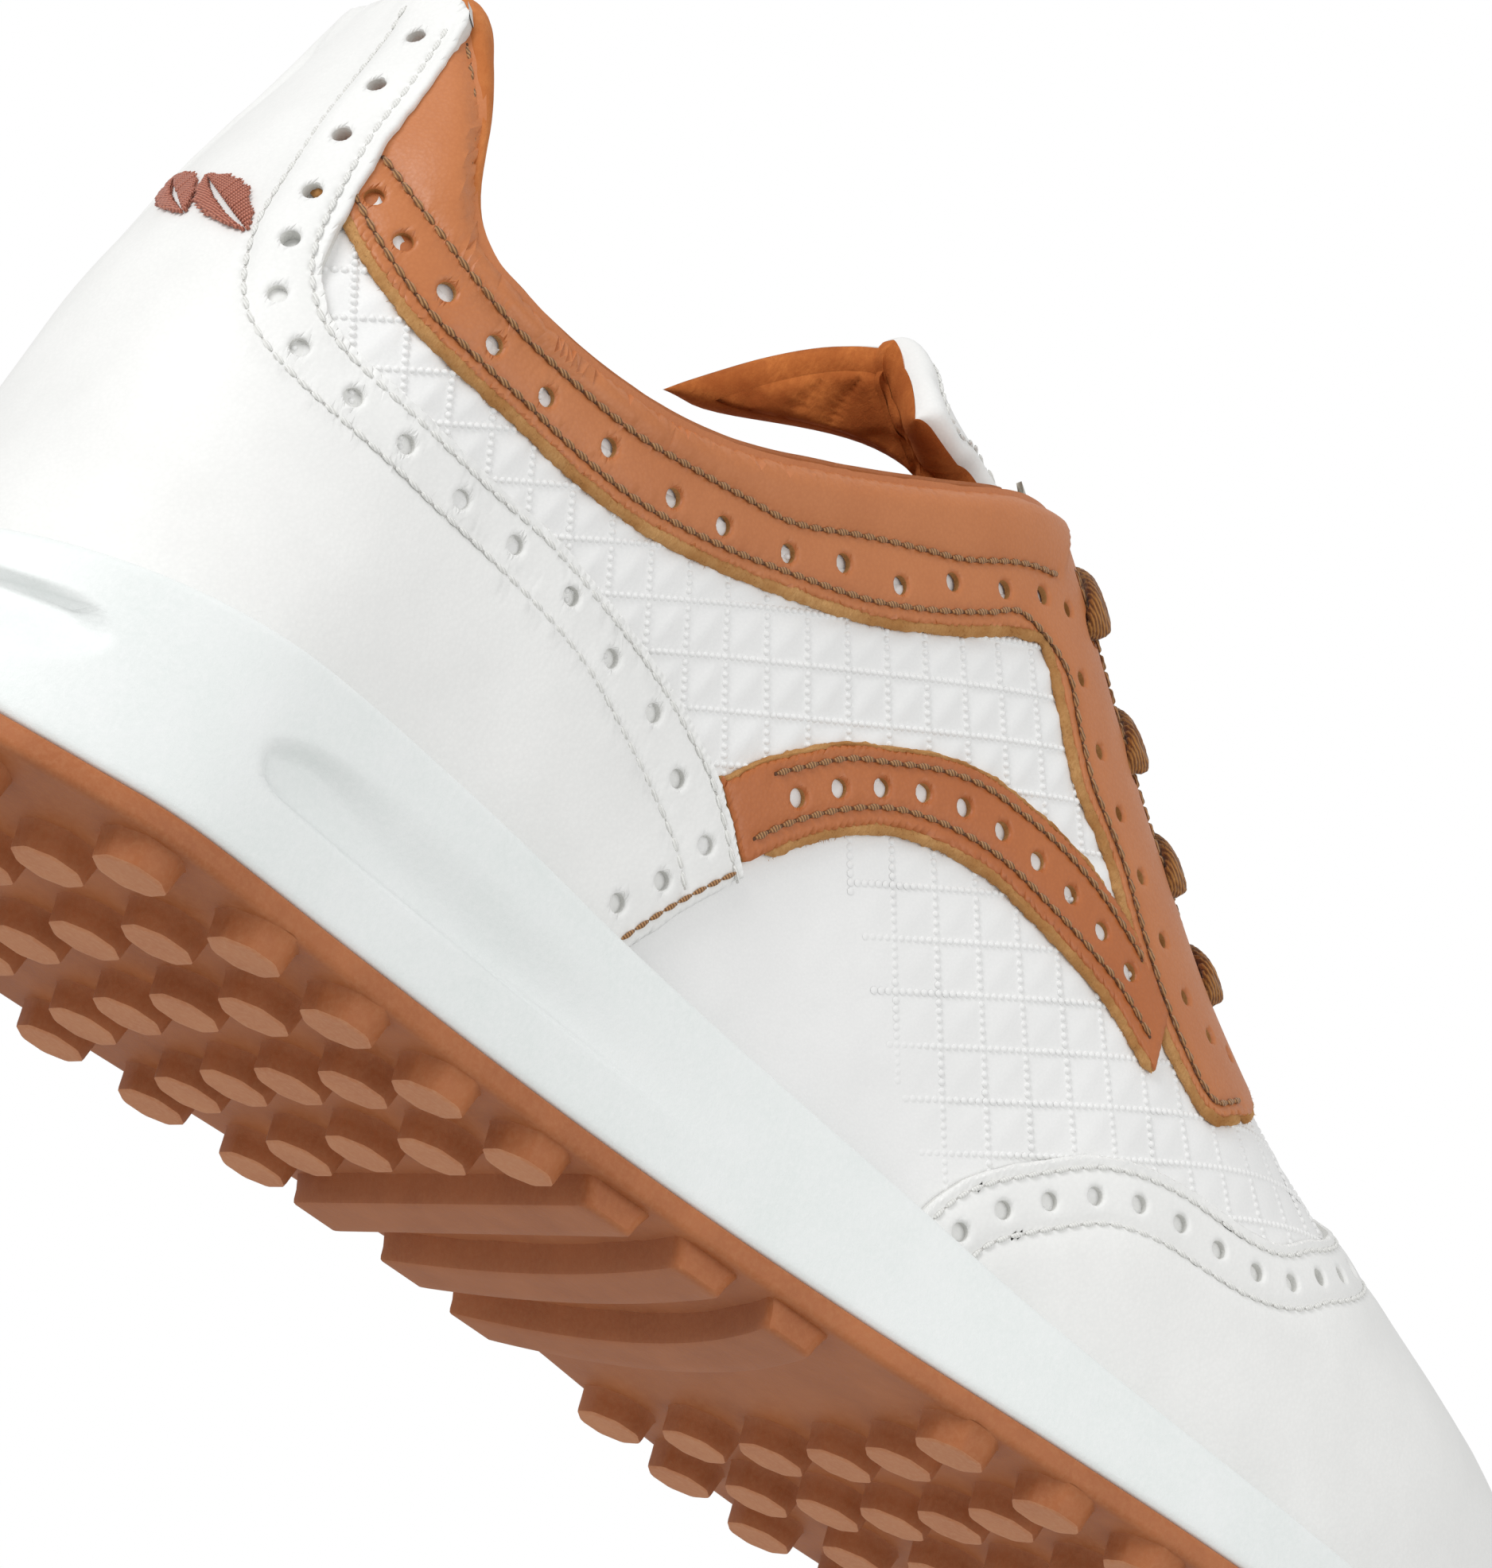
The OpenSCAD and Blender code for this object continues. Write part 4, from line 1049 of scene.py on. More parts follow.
def collar_band(mode, node):
    b = Build()
    x = np.linspace(-128.6, -9, 134)
    low = xt(x, t_of(x, curve(BAND_Z, x)))
    xf = np.linspace(-9, 43.4, 60)
    rear = xt(xf, curve(FACE_LO, xf))
    nose = smooth(xt([43.4, 46.5, 47.5, 46, 43.4], [0.545, 0.62, 0.74, 0.88, 0.955]))
    fore = xt(xf, curve(FACE_HI, xf) - 0.012)[::-1]
    top = xt(x[::-1], t_of(x, curve(TOP_Z, x))[::-1])
    corner = smooth(np.vstack([fore[-1], xt(-7.2, 0.86), xt(-6.8, 0.9), top[0]]))
    edges = [np.vstack([low, rear[2:]]), nose, fore, corner, top, np.vstack([top[-1], low[0]])]
    edges[1][0] = rear[-1]
    st_up = smooth(xz(BAND_UP))
    st_low = inset_line(low[3:], mode, 1.7)
    st_face = inset_line(rear[4:], mode, 1.7)
    lower = smooth(np.vstack([st_low[::6], st_face[::5]]))
    st_in = inset_line(fore[::-1][6:-4], mode, -2.0)
    holes = np.vstack([xz(BAND_HOLES), xt([-6.0, -1, 5, 11, 17, 23, 29, 35, 40.5],
                                          [0.64, 0.60, 0.575, 0.57, 0.56, 0.545, 0.54, 0.57, 0.64])])
    eyes = xt(EYE_X, 0.74)
    radii = [1.15] * len(BAND_HOLES) + [0.95] * (len(holes) - len(BAND_HOLES)) + [2.1] * len(eyes)
    seams_ = [st_up, lower, st_in]

    def relief(uv, p):
        x = x_of(uv[:, 0])
        above = np.clip((p[:, 2] - curve(BAND_UP, x)) / 9, 0, 1) * (x < -8)
        d_top = curve(TOP_Z, x) - p[:, 2]
        puffy = 1.1 * np.sin(np.pi * above * 0.75) * (x < -8) * ease((x + 127) / 9)
        tab = ease((-104 - x) / 12)
        fold = np.clip(1 - (d_top - 2.0 * tab) / 3.2, 0, 1) * (x < -8)
        wr = 0.28 * noise(p * [1.0, 1, 0.45] + 3, 5.5, 11) * np.clip((-x - 98) / 12, 0, 1) * above
        return puffy * 0.8 - (2.0 + 1.4 * (1 - tab)) * fold ** 2.2 + 0.08 * noise(p, 8, 2) + wr
    panel(b, mode, edges, np.vstack([holes, eyes]), radii, 1.2, 0.0, 1.2, 0.4, seams=seams_,
          relief=relief, mats=(0, 1), rag=0.1, dip=0.28)
    for q in seams_:
        seam(b, mode, q, 1.14, 2.15, 2.0, 0.33, 2, pit_shade=3, bow=0.12, lobes=0.22, pit_shade_r=0.24)
    fuzz(b, mode, inset_line(edges[0], mode, -0.25), 0.45, 0.85, 0.62, 1, 11)
    fuzz(b, mode, nose, 0.45, 0.8, 0.62, 1, 12)
    discs(b, mode, holes[:2], 1.7, 0.02, 0)
    discs(b, mode, holes[2:], 1.6, -0.3, 4, 0.05)
    ob = b.make(node + "_piece", [TAN, RAW, B_THREAD, PIT_SHADE_T, EMBOSS], sharp=50)
    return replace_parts(ob, node)


def saddle(mode, node):
    b = Build()
    x = np.linspace(-44.6, 26, 110)
    lo_z = np.maximum(curve(STRIPE_LO, x), np.where(x < -35.9, curve(HEEL_Z, x) + 0.1, 0))
    low = xt(x, t_of(x, lo_z))
    hi_t = np.minimum(t_of(x, curve(STRIPE_HI, x)), curve(FACE_LO, x) + 0.02)
    hi_t = np.maximum(hi_t, low[:, 1] / V + 0.003)
    high = xt(x, hi_t)
    xm = np.linspace(-41.5, 22, 70)
    mid = xt(xm, (t_of(xm, curve(STRIPE_HI, xm)) + t_of(xm, curve(STRIPE_LO, xm))) / 2)
    st1 = inset_line(high[8:-8], mode, -1.6)
    st1 = st1[st1[:, 1] / V < curve(FACE_LO, x_of(st1[:, 0])) - 0.004]
    st2 = inset_line(low[14:-5], mode, 2.2)
    row = along(skin(mid[8:-4], mode)[0], mid[8:-4], 6.6)
    panel(b, mode, around(low, high), row, 1.15, 1.4, 0.0, 1.2, 0.4, seams=[st1, st2],
          relief=lambda uv, p: 0.08 * noise(p, 7, 4), mats=(0, 1), rag=0.1, dip=0.25)
    for q in (st1, st2):
        seam(b, mode, q, 1.14, 2.1, 1.95, 0.33, 2, pit_shade=3, bow=0.12, lobes=0.22, pit_shade_r=0.24)
    fuzz(b, mode, inset_line(low[x > -35.4], mode, -0.15), 0.45, 0.8, 0.62, 1, 21)
    fuzz(b, mode, inset_line(high[x < 12], mode, 0.1), 0.4, 0.4, 0.62, 1, 22, hairs=False)
    discs(b, mode, row, 1.6, -0.35, 4, 0.05)
    ob = b.make(node + "_piece", [TAN_DEEP, RAW, B_THREAD, PIT_SHADE_T, EMBOSS], sharp=50)
    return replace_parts(ob, node)


# ------------------------------------------------------------------ sole
def plan_x(u, inset_):
    """place along the shoe for a share u of the length, closer together at the ends"""
    return HX + inset_ + (TX - HX - 2 * inset_) * (1 - np.cos(np.pi * u)) / 2


def outline(n, inset_):
    """places along the shoe and sides of a closed plan outline, heel to toe and back"""
    k = np.arange(2 * n)
    return plan_x(np.where(k <= n, k / n, 2 - k / n), inset_), np.where(k <= n, -1, 1)


def level(x, kind, v):
    """height above the ground: 0 from the curl line, 1 from the rim, 2 from the seat"""
    if kind == 1:
        return curve(RIM_Z, x) + v
    return curve(CURL_Z, x) + v + (curve(SEAT, x) if kind == 2 else 0)


def stack(b, n, rows, carve=None):
    """rings of (inset, kind of level, height) joined into a wall; kind 3 has a function as its height"""
    rings = []
    for inset_, kind, v in rows:
        x, s = outline(n, inset_)
        z = level(x, kind, v) if kind < 3 else v(x)
        ins = inset_ + (carve(x, z) if carve else 0)
        rings.append(np.stack([x, curve(MID_Y, x) + s * half_w(x, s, ins), z], -1))
    b.add(np.stack(rings), quads(len(rows), 2 * n, wrap_v=True))


def spread(b, n, m, inset_, kind, v, rough=0.0, size=8.0):
    """flat face inside one ring, from the outer to the inner side"""
    x = plan_x(np.linspace(0, 1, n + 1), inset_)
    a, c = -half_w(x, -1, inset_), half_w(x, 1, inset_)
    k = np.linspace(0, 1, m)
    y = curve(MID_Y, x)[:, None] + a[:, None] * (1 - k) + c[:, None] * k
    p = np.stack([np.repeat(x[:, None], m, 1), y, np.repeat(level(x, kind, v)[:, None], m, 1)], -1)
    edge = np.minimum(k, 1 - k)[None, :] * (c - a)[:, None]
    p[..., 2] += rough * noise(p, size, 21) * np.clip(edge / 3, 0, 1)
    b.add(p, quads(n + 1, m))


# upper and lower edge of the long flute
FLUTE_HI = [[-101, 20], [-95, 22.2], [-90, 23.2], [-77, 24.2], [-60, 23.4], [-30, 21]]
FLUTE_LO = [[-101, 15.4], [-97, 14.9], [-85, 14.4], [-47, 14], [-32, 13]]


def flutes(x, z):
    """depth of the two long hollows in the midsole wall"""
    hi, lo = curve(FLUTE_HI, x), curve(FLUTE_LO, x)
    rear = -101.2 + 3.2 * np.clip(np.abs(z - 18.3) / 4.2, 0, 1.4) ** 2
    soft = 1.8 + 6.2 * ease((x + 97) / 20)
    d = 2.1 * ease((z - lo) / 0.9) * ease((hi - z) / soft) * ease((x - rear) / 2.0)
    d = d * (1 - ease((x + 66) / 44))
    tip = -120.4 - 2.6 * np.clip(np.abs(z - 19.4) / 3.2, 0, 1.5) ** 2
    back = ease((22.6 - z) / 1.0) * (1 - ease((20.6 - z) / 6.4)) * ease((tip - x) / 2.4)
    return d + 1.7 * back


def midsole():
    b = Build()
    rows = [(0.95, 0, 6.5), (0.6, 0, 6.56), (0.34, 0, 6.85), (0.2, 0, 7.5)]
    for k in np.linspace(0, 1, 30):
        rows.append((0.2 + 1.0 * k ** 1.3, 3, lambda x, k=k: (1 - k) * (8.2 + curve(CURL_Z, x))
                     + k * (curve(RIM_Z, x) - 1.2)))
    rows += [(1.27, 1, -0.8), (1.42, 1, -0.4), (1.7, 1, -0.12), (2.1, 1, 0.0), (2.8, 1, 0.0),
             (3.15, 1, -0.12), (3.4, 1, -0.5), (3.5, 1, -1.4), (3.6, 2, 0.0), (9.5, 2, 0.0)]
    stack(b, 300, rows, carve=flutes)
    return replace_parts(b.make("midsole_piece", MID, sharp=180), "midsole")


# place of each row, how far it bows back at its ends, count, and gap to the edge of the sole
NUB_ROWS = [(-125.5, 4, 4, 8), (-110, 5, 6, 6), (-94.5, 6, 6, 6), (-79.3, 6, 6, 6),
            (-63.5, 5, 6, 6), (-48.6, 5, 5, 6), (24.3, -6.5, 6, 6), (39.5, -6.5, 7, 6),
            (54.5, -6.5, 6, 6), (69.5, -6.5, 7, 6), (84.5, -6, 6, 6), (99.5, -6, 5, 6),
            (114, -5, 4, 6.5), (127, -4, 3, 6.5)]
BARS = [(-34, 0), (-18, 3), (-1.8, 6)]  # place and bow of the three cross bars


def nub_shape():
    """octagonal nub with soft corners: vertices, walls, tip, and vertices to a ring"""
    a = np.radians(np.array([[q - 4.5, q + 4.5] for q in range(0, 360, 45)]).ravel() + 22.5)
    rings = [(5.25, 3.6), (4.86, 3.2), (4.62, 1.9), (4.42, 0.6), (4.3, 0.18), (3.98, 0.0), (3.4, 0.0)]
    v = np.vstack([np.stack([r * np.cos(a), r * np.sin(a), 0 * a + z], -1) for r, z in rings]
                  + [[[0, 0, 0.05]]])
    m, n = len(a), len(rings)
    side = quads(n, m, wrap_v=True)[:, ::-1]
    c = np.arange(m) + (n - 1) * m
    tip = np.stack([c, np.full(m, n * m), np.roll(c, -1)], -1)
    return v, side, tip, m


def outsole():
    b = Build()
    stack(b, 200, [(1.3, 0, 3.4), (0.6, 0, 3.44), (0.15, 0, 3.75), (0, 0, 4.3), (0, 0, 5.5),
                   (0.05, 0, 6.05), (0.3, 0, 6.36), (1.5, 0, 6.45)])
    spread(b, 200, 46, 1.3, 0, 3.4, rough=0.1, size=5.0)
    v, side, tip, m = nub_shape()
    mid = []
    for xc, bow, n, edge in NUB_ROWS:
        a, c = -(half_w(xc, -1, 0) - edge), half_w(xc, 1, 0) - edge
        y = a + (c - a) * np.arange(n) / (n - 1)
        x = xc + bow * (y / 36) ** 2
        mid.append(np.stack([x, y + curve(MID_Y, xc), curve(CURL_Z, x)], -1))
    mid = np.vstack(mid)
    one = np.ones((len(mid), 1))
    axes = [one * np.array(q, float) for q in ([1, 0, 0], [0, 1, 0], [0, 0, 1])]
    worn = len(side) - 2 * m  # the last two rings of the wall are rubbed pale like the tip
    stamp(b, v, side[:worn], mid, *axes, 0)
    start = b.n
    stamp(b, v, tip, mid, *axes, 1)
    f = side[worn:][None] + (np.arange(len(mid)) * len(v))[:, None, None] + start
    b.more(f.reshape(-1, 4), 1)
    half = [(5.1, 4.2), (3.9, 1.6), (3.62, 0.5), (3.42, 0.12), (3.05, 0.0), (1.5, 0.0)]
    prof = np.array(half + [(-q, z) for q, z in half[::-1]])
    for xc, bow in BARS:
        a, c = -(half_w(xc, -1, 0) - 2.2), half_w(xc, 1, 0) - 2.2
        t = np.concatenate([[0, 0.003, 0.012], np.linspace(0.03, 0.97, 40), [0.988, 0.997, 1]])
        y = a + (c - a) * t
        x = xc - bow * (y / 34) ** 2
        e = np.minimum(np.minimum(y - a, c - y) / 1.0, 1)
        w = 0.72 + 0.28 * np.sqrt(np.clip(e * (2 - e), 0, 1))
        p = np.stack([x[:, None] + w[:, None] * prof[None, :, 0],
                      np.repeat((y + curve(MID_Y, xc))[:, None], len(prof), 1),
                      np.where(prof[:, 1] > 3, 4.2, prof[:, 1] + (1 - w[:, None]) * 1.6)], -1)
        m = len(prof)
        j = np.arange(len(t) - 1)[:, None] * m + np.arange(m - 1)[None]
        b.add(p, np.stack([j, j + 1, j + 1 + m, j + m], -1).reshape(-1, 4))
        for row in (0, -1):
            b.add(p[row], np.arange(m)[None])
    ob = b.make("outsole_piece", [GUM, TIP], sharp=42, normals=True)
    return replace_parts(ob, "outsole")


def footbed():
    b = Build()
    stack(b, 140, [(15.6, 2, 7.13), (14.7, 2, 7.1), (14.2, 2, 6.92), (14.05, 2, 6.6),
                   (14.2, 2, 6.25)])
    spread(b, 140, 40, 15.6, 2, 7.13, rough=0.22, size=9.0)
    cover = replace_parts(b.make("footbed_cover_piece", COVER, body="footbed",
                               sharp=180, merge=0.02), "footbed_cover")
    b = Build()
    stack(b, 140, [(14.5, 2, 6.18), (14.1, 2, 6.0), (13.95, 2, 4.0), (14.05, 2, 2.0),
                   (14.5, 2, 1.68)])
    spread(b, 140, 12, 14.5, 2, 1.68)
    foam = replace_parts(b.make("footbed_foam_piece", FOAM, body="footbed",
                              sharp=180, merge=0.02), "footbed_foam")
    return cover


# ------------------------------------------------------------------ collar
def pad_t(x, t):
    """thickness of the padding behind the lining"""
    k = t / t_of(x, curve(TOP_Z, x))
    return 5.0 * np.where(k < 0.5, 0.7 * k, 0.35 + 0.65 * np.sin(
        np.radians(111.6) * np.clip((k - 0.5) / 0.5, 0, 1)))


# section of the roll along the top edge: how far below the edge, and outwards from the surface
ROLL = [(4.2, -1.4), (3.2, -1.05), (2.4, -0.45), (1.6, -0.02), (0.8, 0.15), (0.0, 0.12), (-0.7, -0.2),
        (-1.3, -0.9), (-1.7, -2.0), (-1.85, -3.3), (-1.75, -4.6), (-1.4, -5.8), (-0.8, -6.8),
        (0.1, -7.6), (1.4, -8.2), (3.0, -8.5)]


def collar():
    b = Build()
    q = np.linspace(-q_of(-14), q_of(-14), 270)
    x = x_of(np.abs(q))
    s = np.where(q < 0, -1, 1)
    topz = curve(TOP_Z, x)
    rows, kind = [], []
    end = np.clip(np.minimum(np.arange(270), np.arange(270)[::-1]) / 5, 0, 1) ** 0.5
    tab = ease((-104 - x) / 12)
    core = -4.0
    for h, o in ROLL:
        rolled = 1 if o > -6.5 and h < 3 else 0
        p0 = up(s, x, t_of(x, topz - h), o)[0]
        w = 0.16 * noise(p0, 6, 31) + 0.08 * noise(p0, 2.2, 32)
        crease = -0.3 * np.clip(noise(p0 * [1, 1, 0.3], 4.5, 33), 0, 1) * (o < -4)
        if h > -1.5:  # in front of the tab, the band wraps over the outer side of the roll
            o = np.minimum(o, o * tab + (1 - tab) * (-2.4 - 0.5 * (h > 1) * h))
        below = h + (1 - tab) * 0.35
        rows.append(up(s, x, t_of(x, topz - 1.2 + (1.2 - below) * end),
                       core + (o + w + crease - core) * end)[0])
        kind.append(rolled)
    t5 = t_of(x, topz - 5)
    for k in np.linspace(0, 1, 26):
        t = t5 * (1 - k) + 0.02 * k
        p0 = up(s, x, t, -5)[0]
        deep = 0.45 * noise(p0 * [1, 1, 0.55], 11, 34) + 0.2 * noise(p0 * [1, 1, 0.5], 3.6, 35)
        rows.append(up(s, x, t, -3.35 - pad_t(x, t) + deep * (0.25 + 0.75 * (1 - k)))[0])
    for k, o in ((1, -2.5), (0.6, -2.45), (0.3, -2.4), (0, -2.2)):
        rows.append(up(s, x, t5 * (1 - k) + 0.02 * k, o)[0])
    pts = np.stack(rows, 1)
    m = len(rows)
    mat = np.tile(np.array(kind + [0] * (m - len(kind))), len(q) - 1)
    mat[np.repeat(x[:-1] > -104, m) & (mat == 1)] = 4
    b.add(pts, quads(len(q), m, wrap_v=True, flip=True), mat)
    fan(b, pts[0], pts[0].mean(0), 1)
    fan(b, pts[-1], pts[-1].mean(0), -1)
    for mode in ("lat", "med"):
        xs = np.linspace(-127.5, -107, 60)
        ln = xz(np.stack([xs, curve(TOP_Z, xs) - 2.5], -1))
        seam(b, mode, ln, 0.02, 3.3, 2.5, 0.26, 2, pit_shade=3, lobes=0.2, pit_shade_r=0.3)
    ob = b.make("collar_lining_piece", [LINING, ROLL_M, B_THREAD, PIT_SHADE_T, TAN],
                sharp=180)
    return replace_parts(ob, "collar_lining", "collar_foam")


# ------------------------------------------------------------------ tongue
def wing(s, x, t):
    """how far the corners of the tongue reach further back"""
    far = 19 * np.clip((0.9 - t) / 0.42, 0, 1) ** 1.5 if s > 0 else 2 * (1 - t)
    return far * ease((-6 - x) / 24)


def tongue_edge(s, x):
    """share of the way to the ridge at the tongue's side edge"""
    return curve(TONGUE_T, x) - (0.13 * ease((-18 - x) / 10) if s > 0 else 0)


def sink(x, t):
    """how much deeper the tongue lies at its front, under the vamp, and at its back"""
    back = 4 * ease((-4 - x) / 20) * np.clip((t - 0.5) / 0.25, 0, 1)
    return 2.4 * np.clip((x - 20) / 10, 0, 1) + back


def up_tongue(s, x, t, o):
    return up(s, x - wing(s, x, t), t, o - sink(x, t))[0]


def tongue():
    """the outer leather over its padding, then the lining"""
    n = 110
    ph = np.linspace(0, np.pi / 2, 8)
    x = np.concatenate([-30 + 3.0 * (1 - np.cos(ph)), np.linspace(-26.3, 49, n), [49.6, 50]])
    th = np.concatenate([3.0 * np.sin(ph), np.full(n, 3.0), [2.2, 0.05]])
    t0 = curve(TONGUE_T, x)
    mm = np.linalg.norm(up(-1, x, t0 + 0.02)[0] - up(-1, x, t0)[0], axis=-1) / 0.02  # to a whole share
    a = np.linspace(-np.pi / 2, np.pi / 2, 9)
    # section of half the tongue: gap from the side edge, share of the way to the ridge, place in the depth
    rim = [(2.8 / mm * (1 - np.cos(q)), 0.0, np.sin(q)) for q in a]
    face = [(2.8 / mm, k, 1.0) for k in np.linspace(0, 1, 24)[1:]]
    half = rim + face
    ring = [(-1, *q) for q in half] + [(1, *q) for q in half[::-1][1:]]
    ring += [(1, d, g, -1.0) for d, g, _ in face[:-1]] + [(-1, d, g, -1.0) for d, g, _ in face[::-1]]
    rows = []
    for s, d, g, k in ring:
        t = np.minimum(1, (tongue_edge(s, x) + d) * (1 - g) + g)
        p0 = up_tongue(s, x, t, -6.2)
        w = 0.14 * noise(p0, 9, 41) + 0.1 * noise(p0, 3.5, 42)
        rows.append(up_tongue(s, x, t, -6.2 + th * k + w * (k > 0.9)))
    b = Build()
    deep = np.array([k for *_, k in ring])
    lined = np.where((deep + np.roll(deep, -1)) / 2 < 0.25, 3, 0)
    b.add(np.stack(rows, 1), quads(len(x), len(ring), wrap_v=True), np.tile(lined, len(x) - 1))
    for s in (-1, 1):
        mode = "lat" if s < 0 else "med"
        xs = np.linspace(-25.8, 20, 60)
        ts = tongue_edge(s, xs) + 4.2 / np.interp(xs, x, mm)
        for lx, lt in ((xs, ts), (np.full(40, -25.8), np.linspace(ts[0], 1, 40))):
            line, deep = xt(lx - wing(s, lx, lt), lt), sink(lx, lt)
            on_line = skin(line, mode)[0]

            def lowered(p):
                return -deep[np.argmin(((p[:, None] - on_line[None]) ** 2).sum(-1), 1)]
            seam(b, mode, line, -3.12, 2.4, 2.0, 0.3, 1, pit_shade=2, lobes=0.1, pit_shade_r=0.22, raise_=lowered)
    ob = b.make("tongue_shell_piece", [WHITE, W_THREAD, PIT_SHADE, SUEDE], body="tongue",
                sharp=180, merge=0.02, normals=True)
    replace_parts(ob, "tongue_shell")
    b = Build()
    x = np.linspace(-27.6, 49, 170)
    xs = np.linspace(-31, 50, 40)
    mm = np.interp(x, xs, np.linalg.norm(up(-1, xs, 0.77)[0] - up(-1, xs, 0.75)[0], axis=-1) / 0.02)
    rows = []
    ends = np.clip(np.minimum(x + 27.6, 49 - x) / 1.6, 0, 1)
    for v in np.linspace(-1, 1, 90):
        s = -1 if v < 0 else 1
        lo = np.minimum(0.98, tongue_edge(s, x) + (3.6 if s < 0 else 1.2) / mm)
        t = 1 - (1 - lo) * abs(v)
        e = np.clip((1 - abs(v)) * (1 - lo) * mm / 1.6, 0, 1)
        r = np.sqrt(np.clip(e * (2 - e), 0, 1)) * np.sqrt(np.clip(ends * (2 - ends), 0, 1))
        p0 = up_tongue(s, x, t, -9)
        fold = noise(p0 * [0.9, 0.3, 0.3], 3.4, 45)
        w = 0.5 * noise(p0, 6.5, 43) + 0.14 * noise(p0, 2.6, 44) - 0.75 * np.exp(-(fold / 0.1) ** 2)
        puffed = 0.5 * (1 - abs(v) ** 2.5)
        rows.append(up_tongue(s, x, t, -9.2 - (0.95 + puffed + w) * r))
    for v in np.linspace(1, -1, 9):
        s = -1 if v < 0 else 1
        lo = np.minimum(0.98, tongue_edge(s, x) + (4.0 if s < 0 else 1.6) / mm)
        rows.append(up_tongue(s, x, 1 - (1 - lo) * abs(v), -8.7))
    b.add(np.stack(rows, 1), quads(len(x), len(rows), wrap_v=True), 0)
    ob = b.make("tongue_lining_piece", SUEDE, body="tongue", sharp=180,
                merge=0.02, normals=True)
    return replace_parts(ob, "tongue_lining", "tongue_foam")


def forefoot_lining():
    b = Build()
    n, m = 90, 34
    x = -13.6 + (XB + 13.6) * (1 - (1 - np.arange(n) / (n - 1)) ** 1.5)
    hi = np.where(x < 46, np.minimum(curve(FACE_HI, x), 0.8) + 0.2 * np.clip((x - 30) / 16, 0, 1) ** 2, 1)
    for s in (-1, 1):
        rows = []
        for lay in (1, 0):
            for v in (np.linspace(0, 1, m) if lay else np.linspace(1, 0, m)):
                t = np.minimum(hi, 1) * v
                o = -1.85 if lay else -2.6 + 0.12 * noise(up(s, x, t, -2)[0], 8, 51)
                deeper = (0.45 * (1 - ease((t - 0.6) / 0.12)) + 0.4 * np.clip((x - 24) / 10, 0, 1)
                          + np.clip((x - 30) / 8, 0, 1))
                rows.append(up(s, x, t, o - deeper)[0])
        b.add(np.stack(rows, 1), quads(n, 2 * m, wrap_v=True), 0)
    ob = b.make("vamp_lining_piece", TEXTILE, sharp=180, merge=0.02,
                normals=True)
    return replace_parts(ob, "vamp_lining")


# ------------------------------------------------------------------ lace
def lace():
    """one flat braided cord over the throat at each pair of holes and under the facing between rows"""
    ridge = unit(np.array([1.0, 0, -0.75]))
    half_wide, half_thick = 2.8, 0.95

    def station(s, x, t, o, across, w, h):
        return np.concatenate([up(s, x, t, o)[0], across, [w, h]])

    def end(s, x, way):
        q = unit(up(s, x, 0.75)[0] - up(s, x, 0.73)[0])
        return [station(s, x + 3.6 * way, 0.74, -0.75, q, 2, 0.5),
                station(s, x + 1.1 * way, 0.74, -0.55, q, 1.8, 0.6),
                station(s, x, 0.742, 0.8, unit(q + ridge), 1.5, 1.1),
                station(s, x, 0.757, 2.1, ridge, 2.1, half_thick),
                station(s, x, 0.8, 2.45, ridge, half_wide, half_thick),
                station(s, x, 0.88, 2.45, ridge, half_wide, half_thick)]
    key = []
    for k, x in enumerate(EYE_X):
        s = -1 if k % 2 == 0 else 1
        last = k == len(EYE_X) - 1
        key += end(s, x, -1) + [station(s, x, 1, 2.45, ridge, half_wide, half_thick)]
        key += end(-s, x, -1 if last else 1)[::-1]
    c = smooth(key, 0.8)
    pts, wd = c[:, :3], unit(c[:, 3:6])
    d = unit(np.gradient(pts, axis=0))
    u = unit(np.cross(wd, d))
    w = np.cross(d, u)
    run = np.concatenate([[0], np.cumsum(np.linalg.norm(np.diff(pts, axis=0), axis=1))])
    even = np.arange(0, run[-1], 0.3)

    def get(a):
        return np.stack([np.interp(even, run, a[:, k]) for k in range(a.shape[1])], -1)
    pts, u, w, size = get(pts), unit(get(u)), unit(get(w)), np.clip(get(c[:, 6:8]), 0.45, 2.9)
    m = 36
    a = np.arange(m) * 2 * np.pi / m
    ca, sa = np.cos(a), np.sin(a)
    shape = (np.abs(ca) ** 2.6 + np.abs(sa) ** 2.6) ** (-1 / 2.6)
    # two sets of six strands wind round it against each other
    g = a / (2 * np.pi) * 12
    e = even[:, None] / 2.5
    ia, ib = np.floor(e * 2 + g), np.floor(e * 2 - g)
    fa, fb = e * 2 + g - ia, e * 2 - g - ib
    on_top = (ia + ib) % 2 == 0
    strand = np.where(on_top, np.sin(np.pi * fa) ** 0.7, np.sin(np.pi * fb) ** 0.7)
    fine = 0.12 * np.sin(2 * np.pi * np.where(on_top, fb, fa) * 3)
    out = 0.26 * (strand + fine - 0.6)
    off_w = size[:, :1] * shape * ca + out * ca
    off_u = size[:, 1:] * shape * sa + out * sa
    v = pts[:, None] + w[:, None] * off_w[..., None] + u[:, None] * off_u[..., None]
    b = Build()
    b.add(v, quads(len(even), m, wrap_v=True))
    fan(b, v[0], pts[0], -1)
    fan(b, v[-1], pts[-1], 1)
    ob = b.make("lace_piece", LACE, sharp=180, merge=0.01, normals=True)
    print("lace length mm", round(float(run[-1]), 1))
    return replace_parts(ob, "lace")


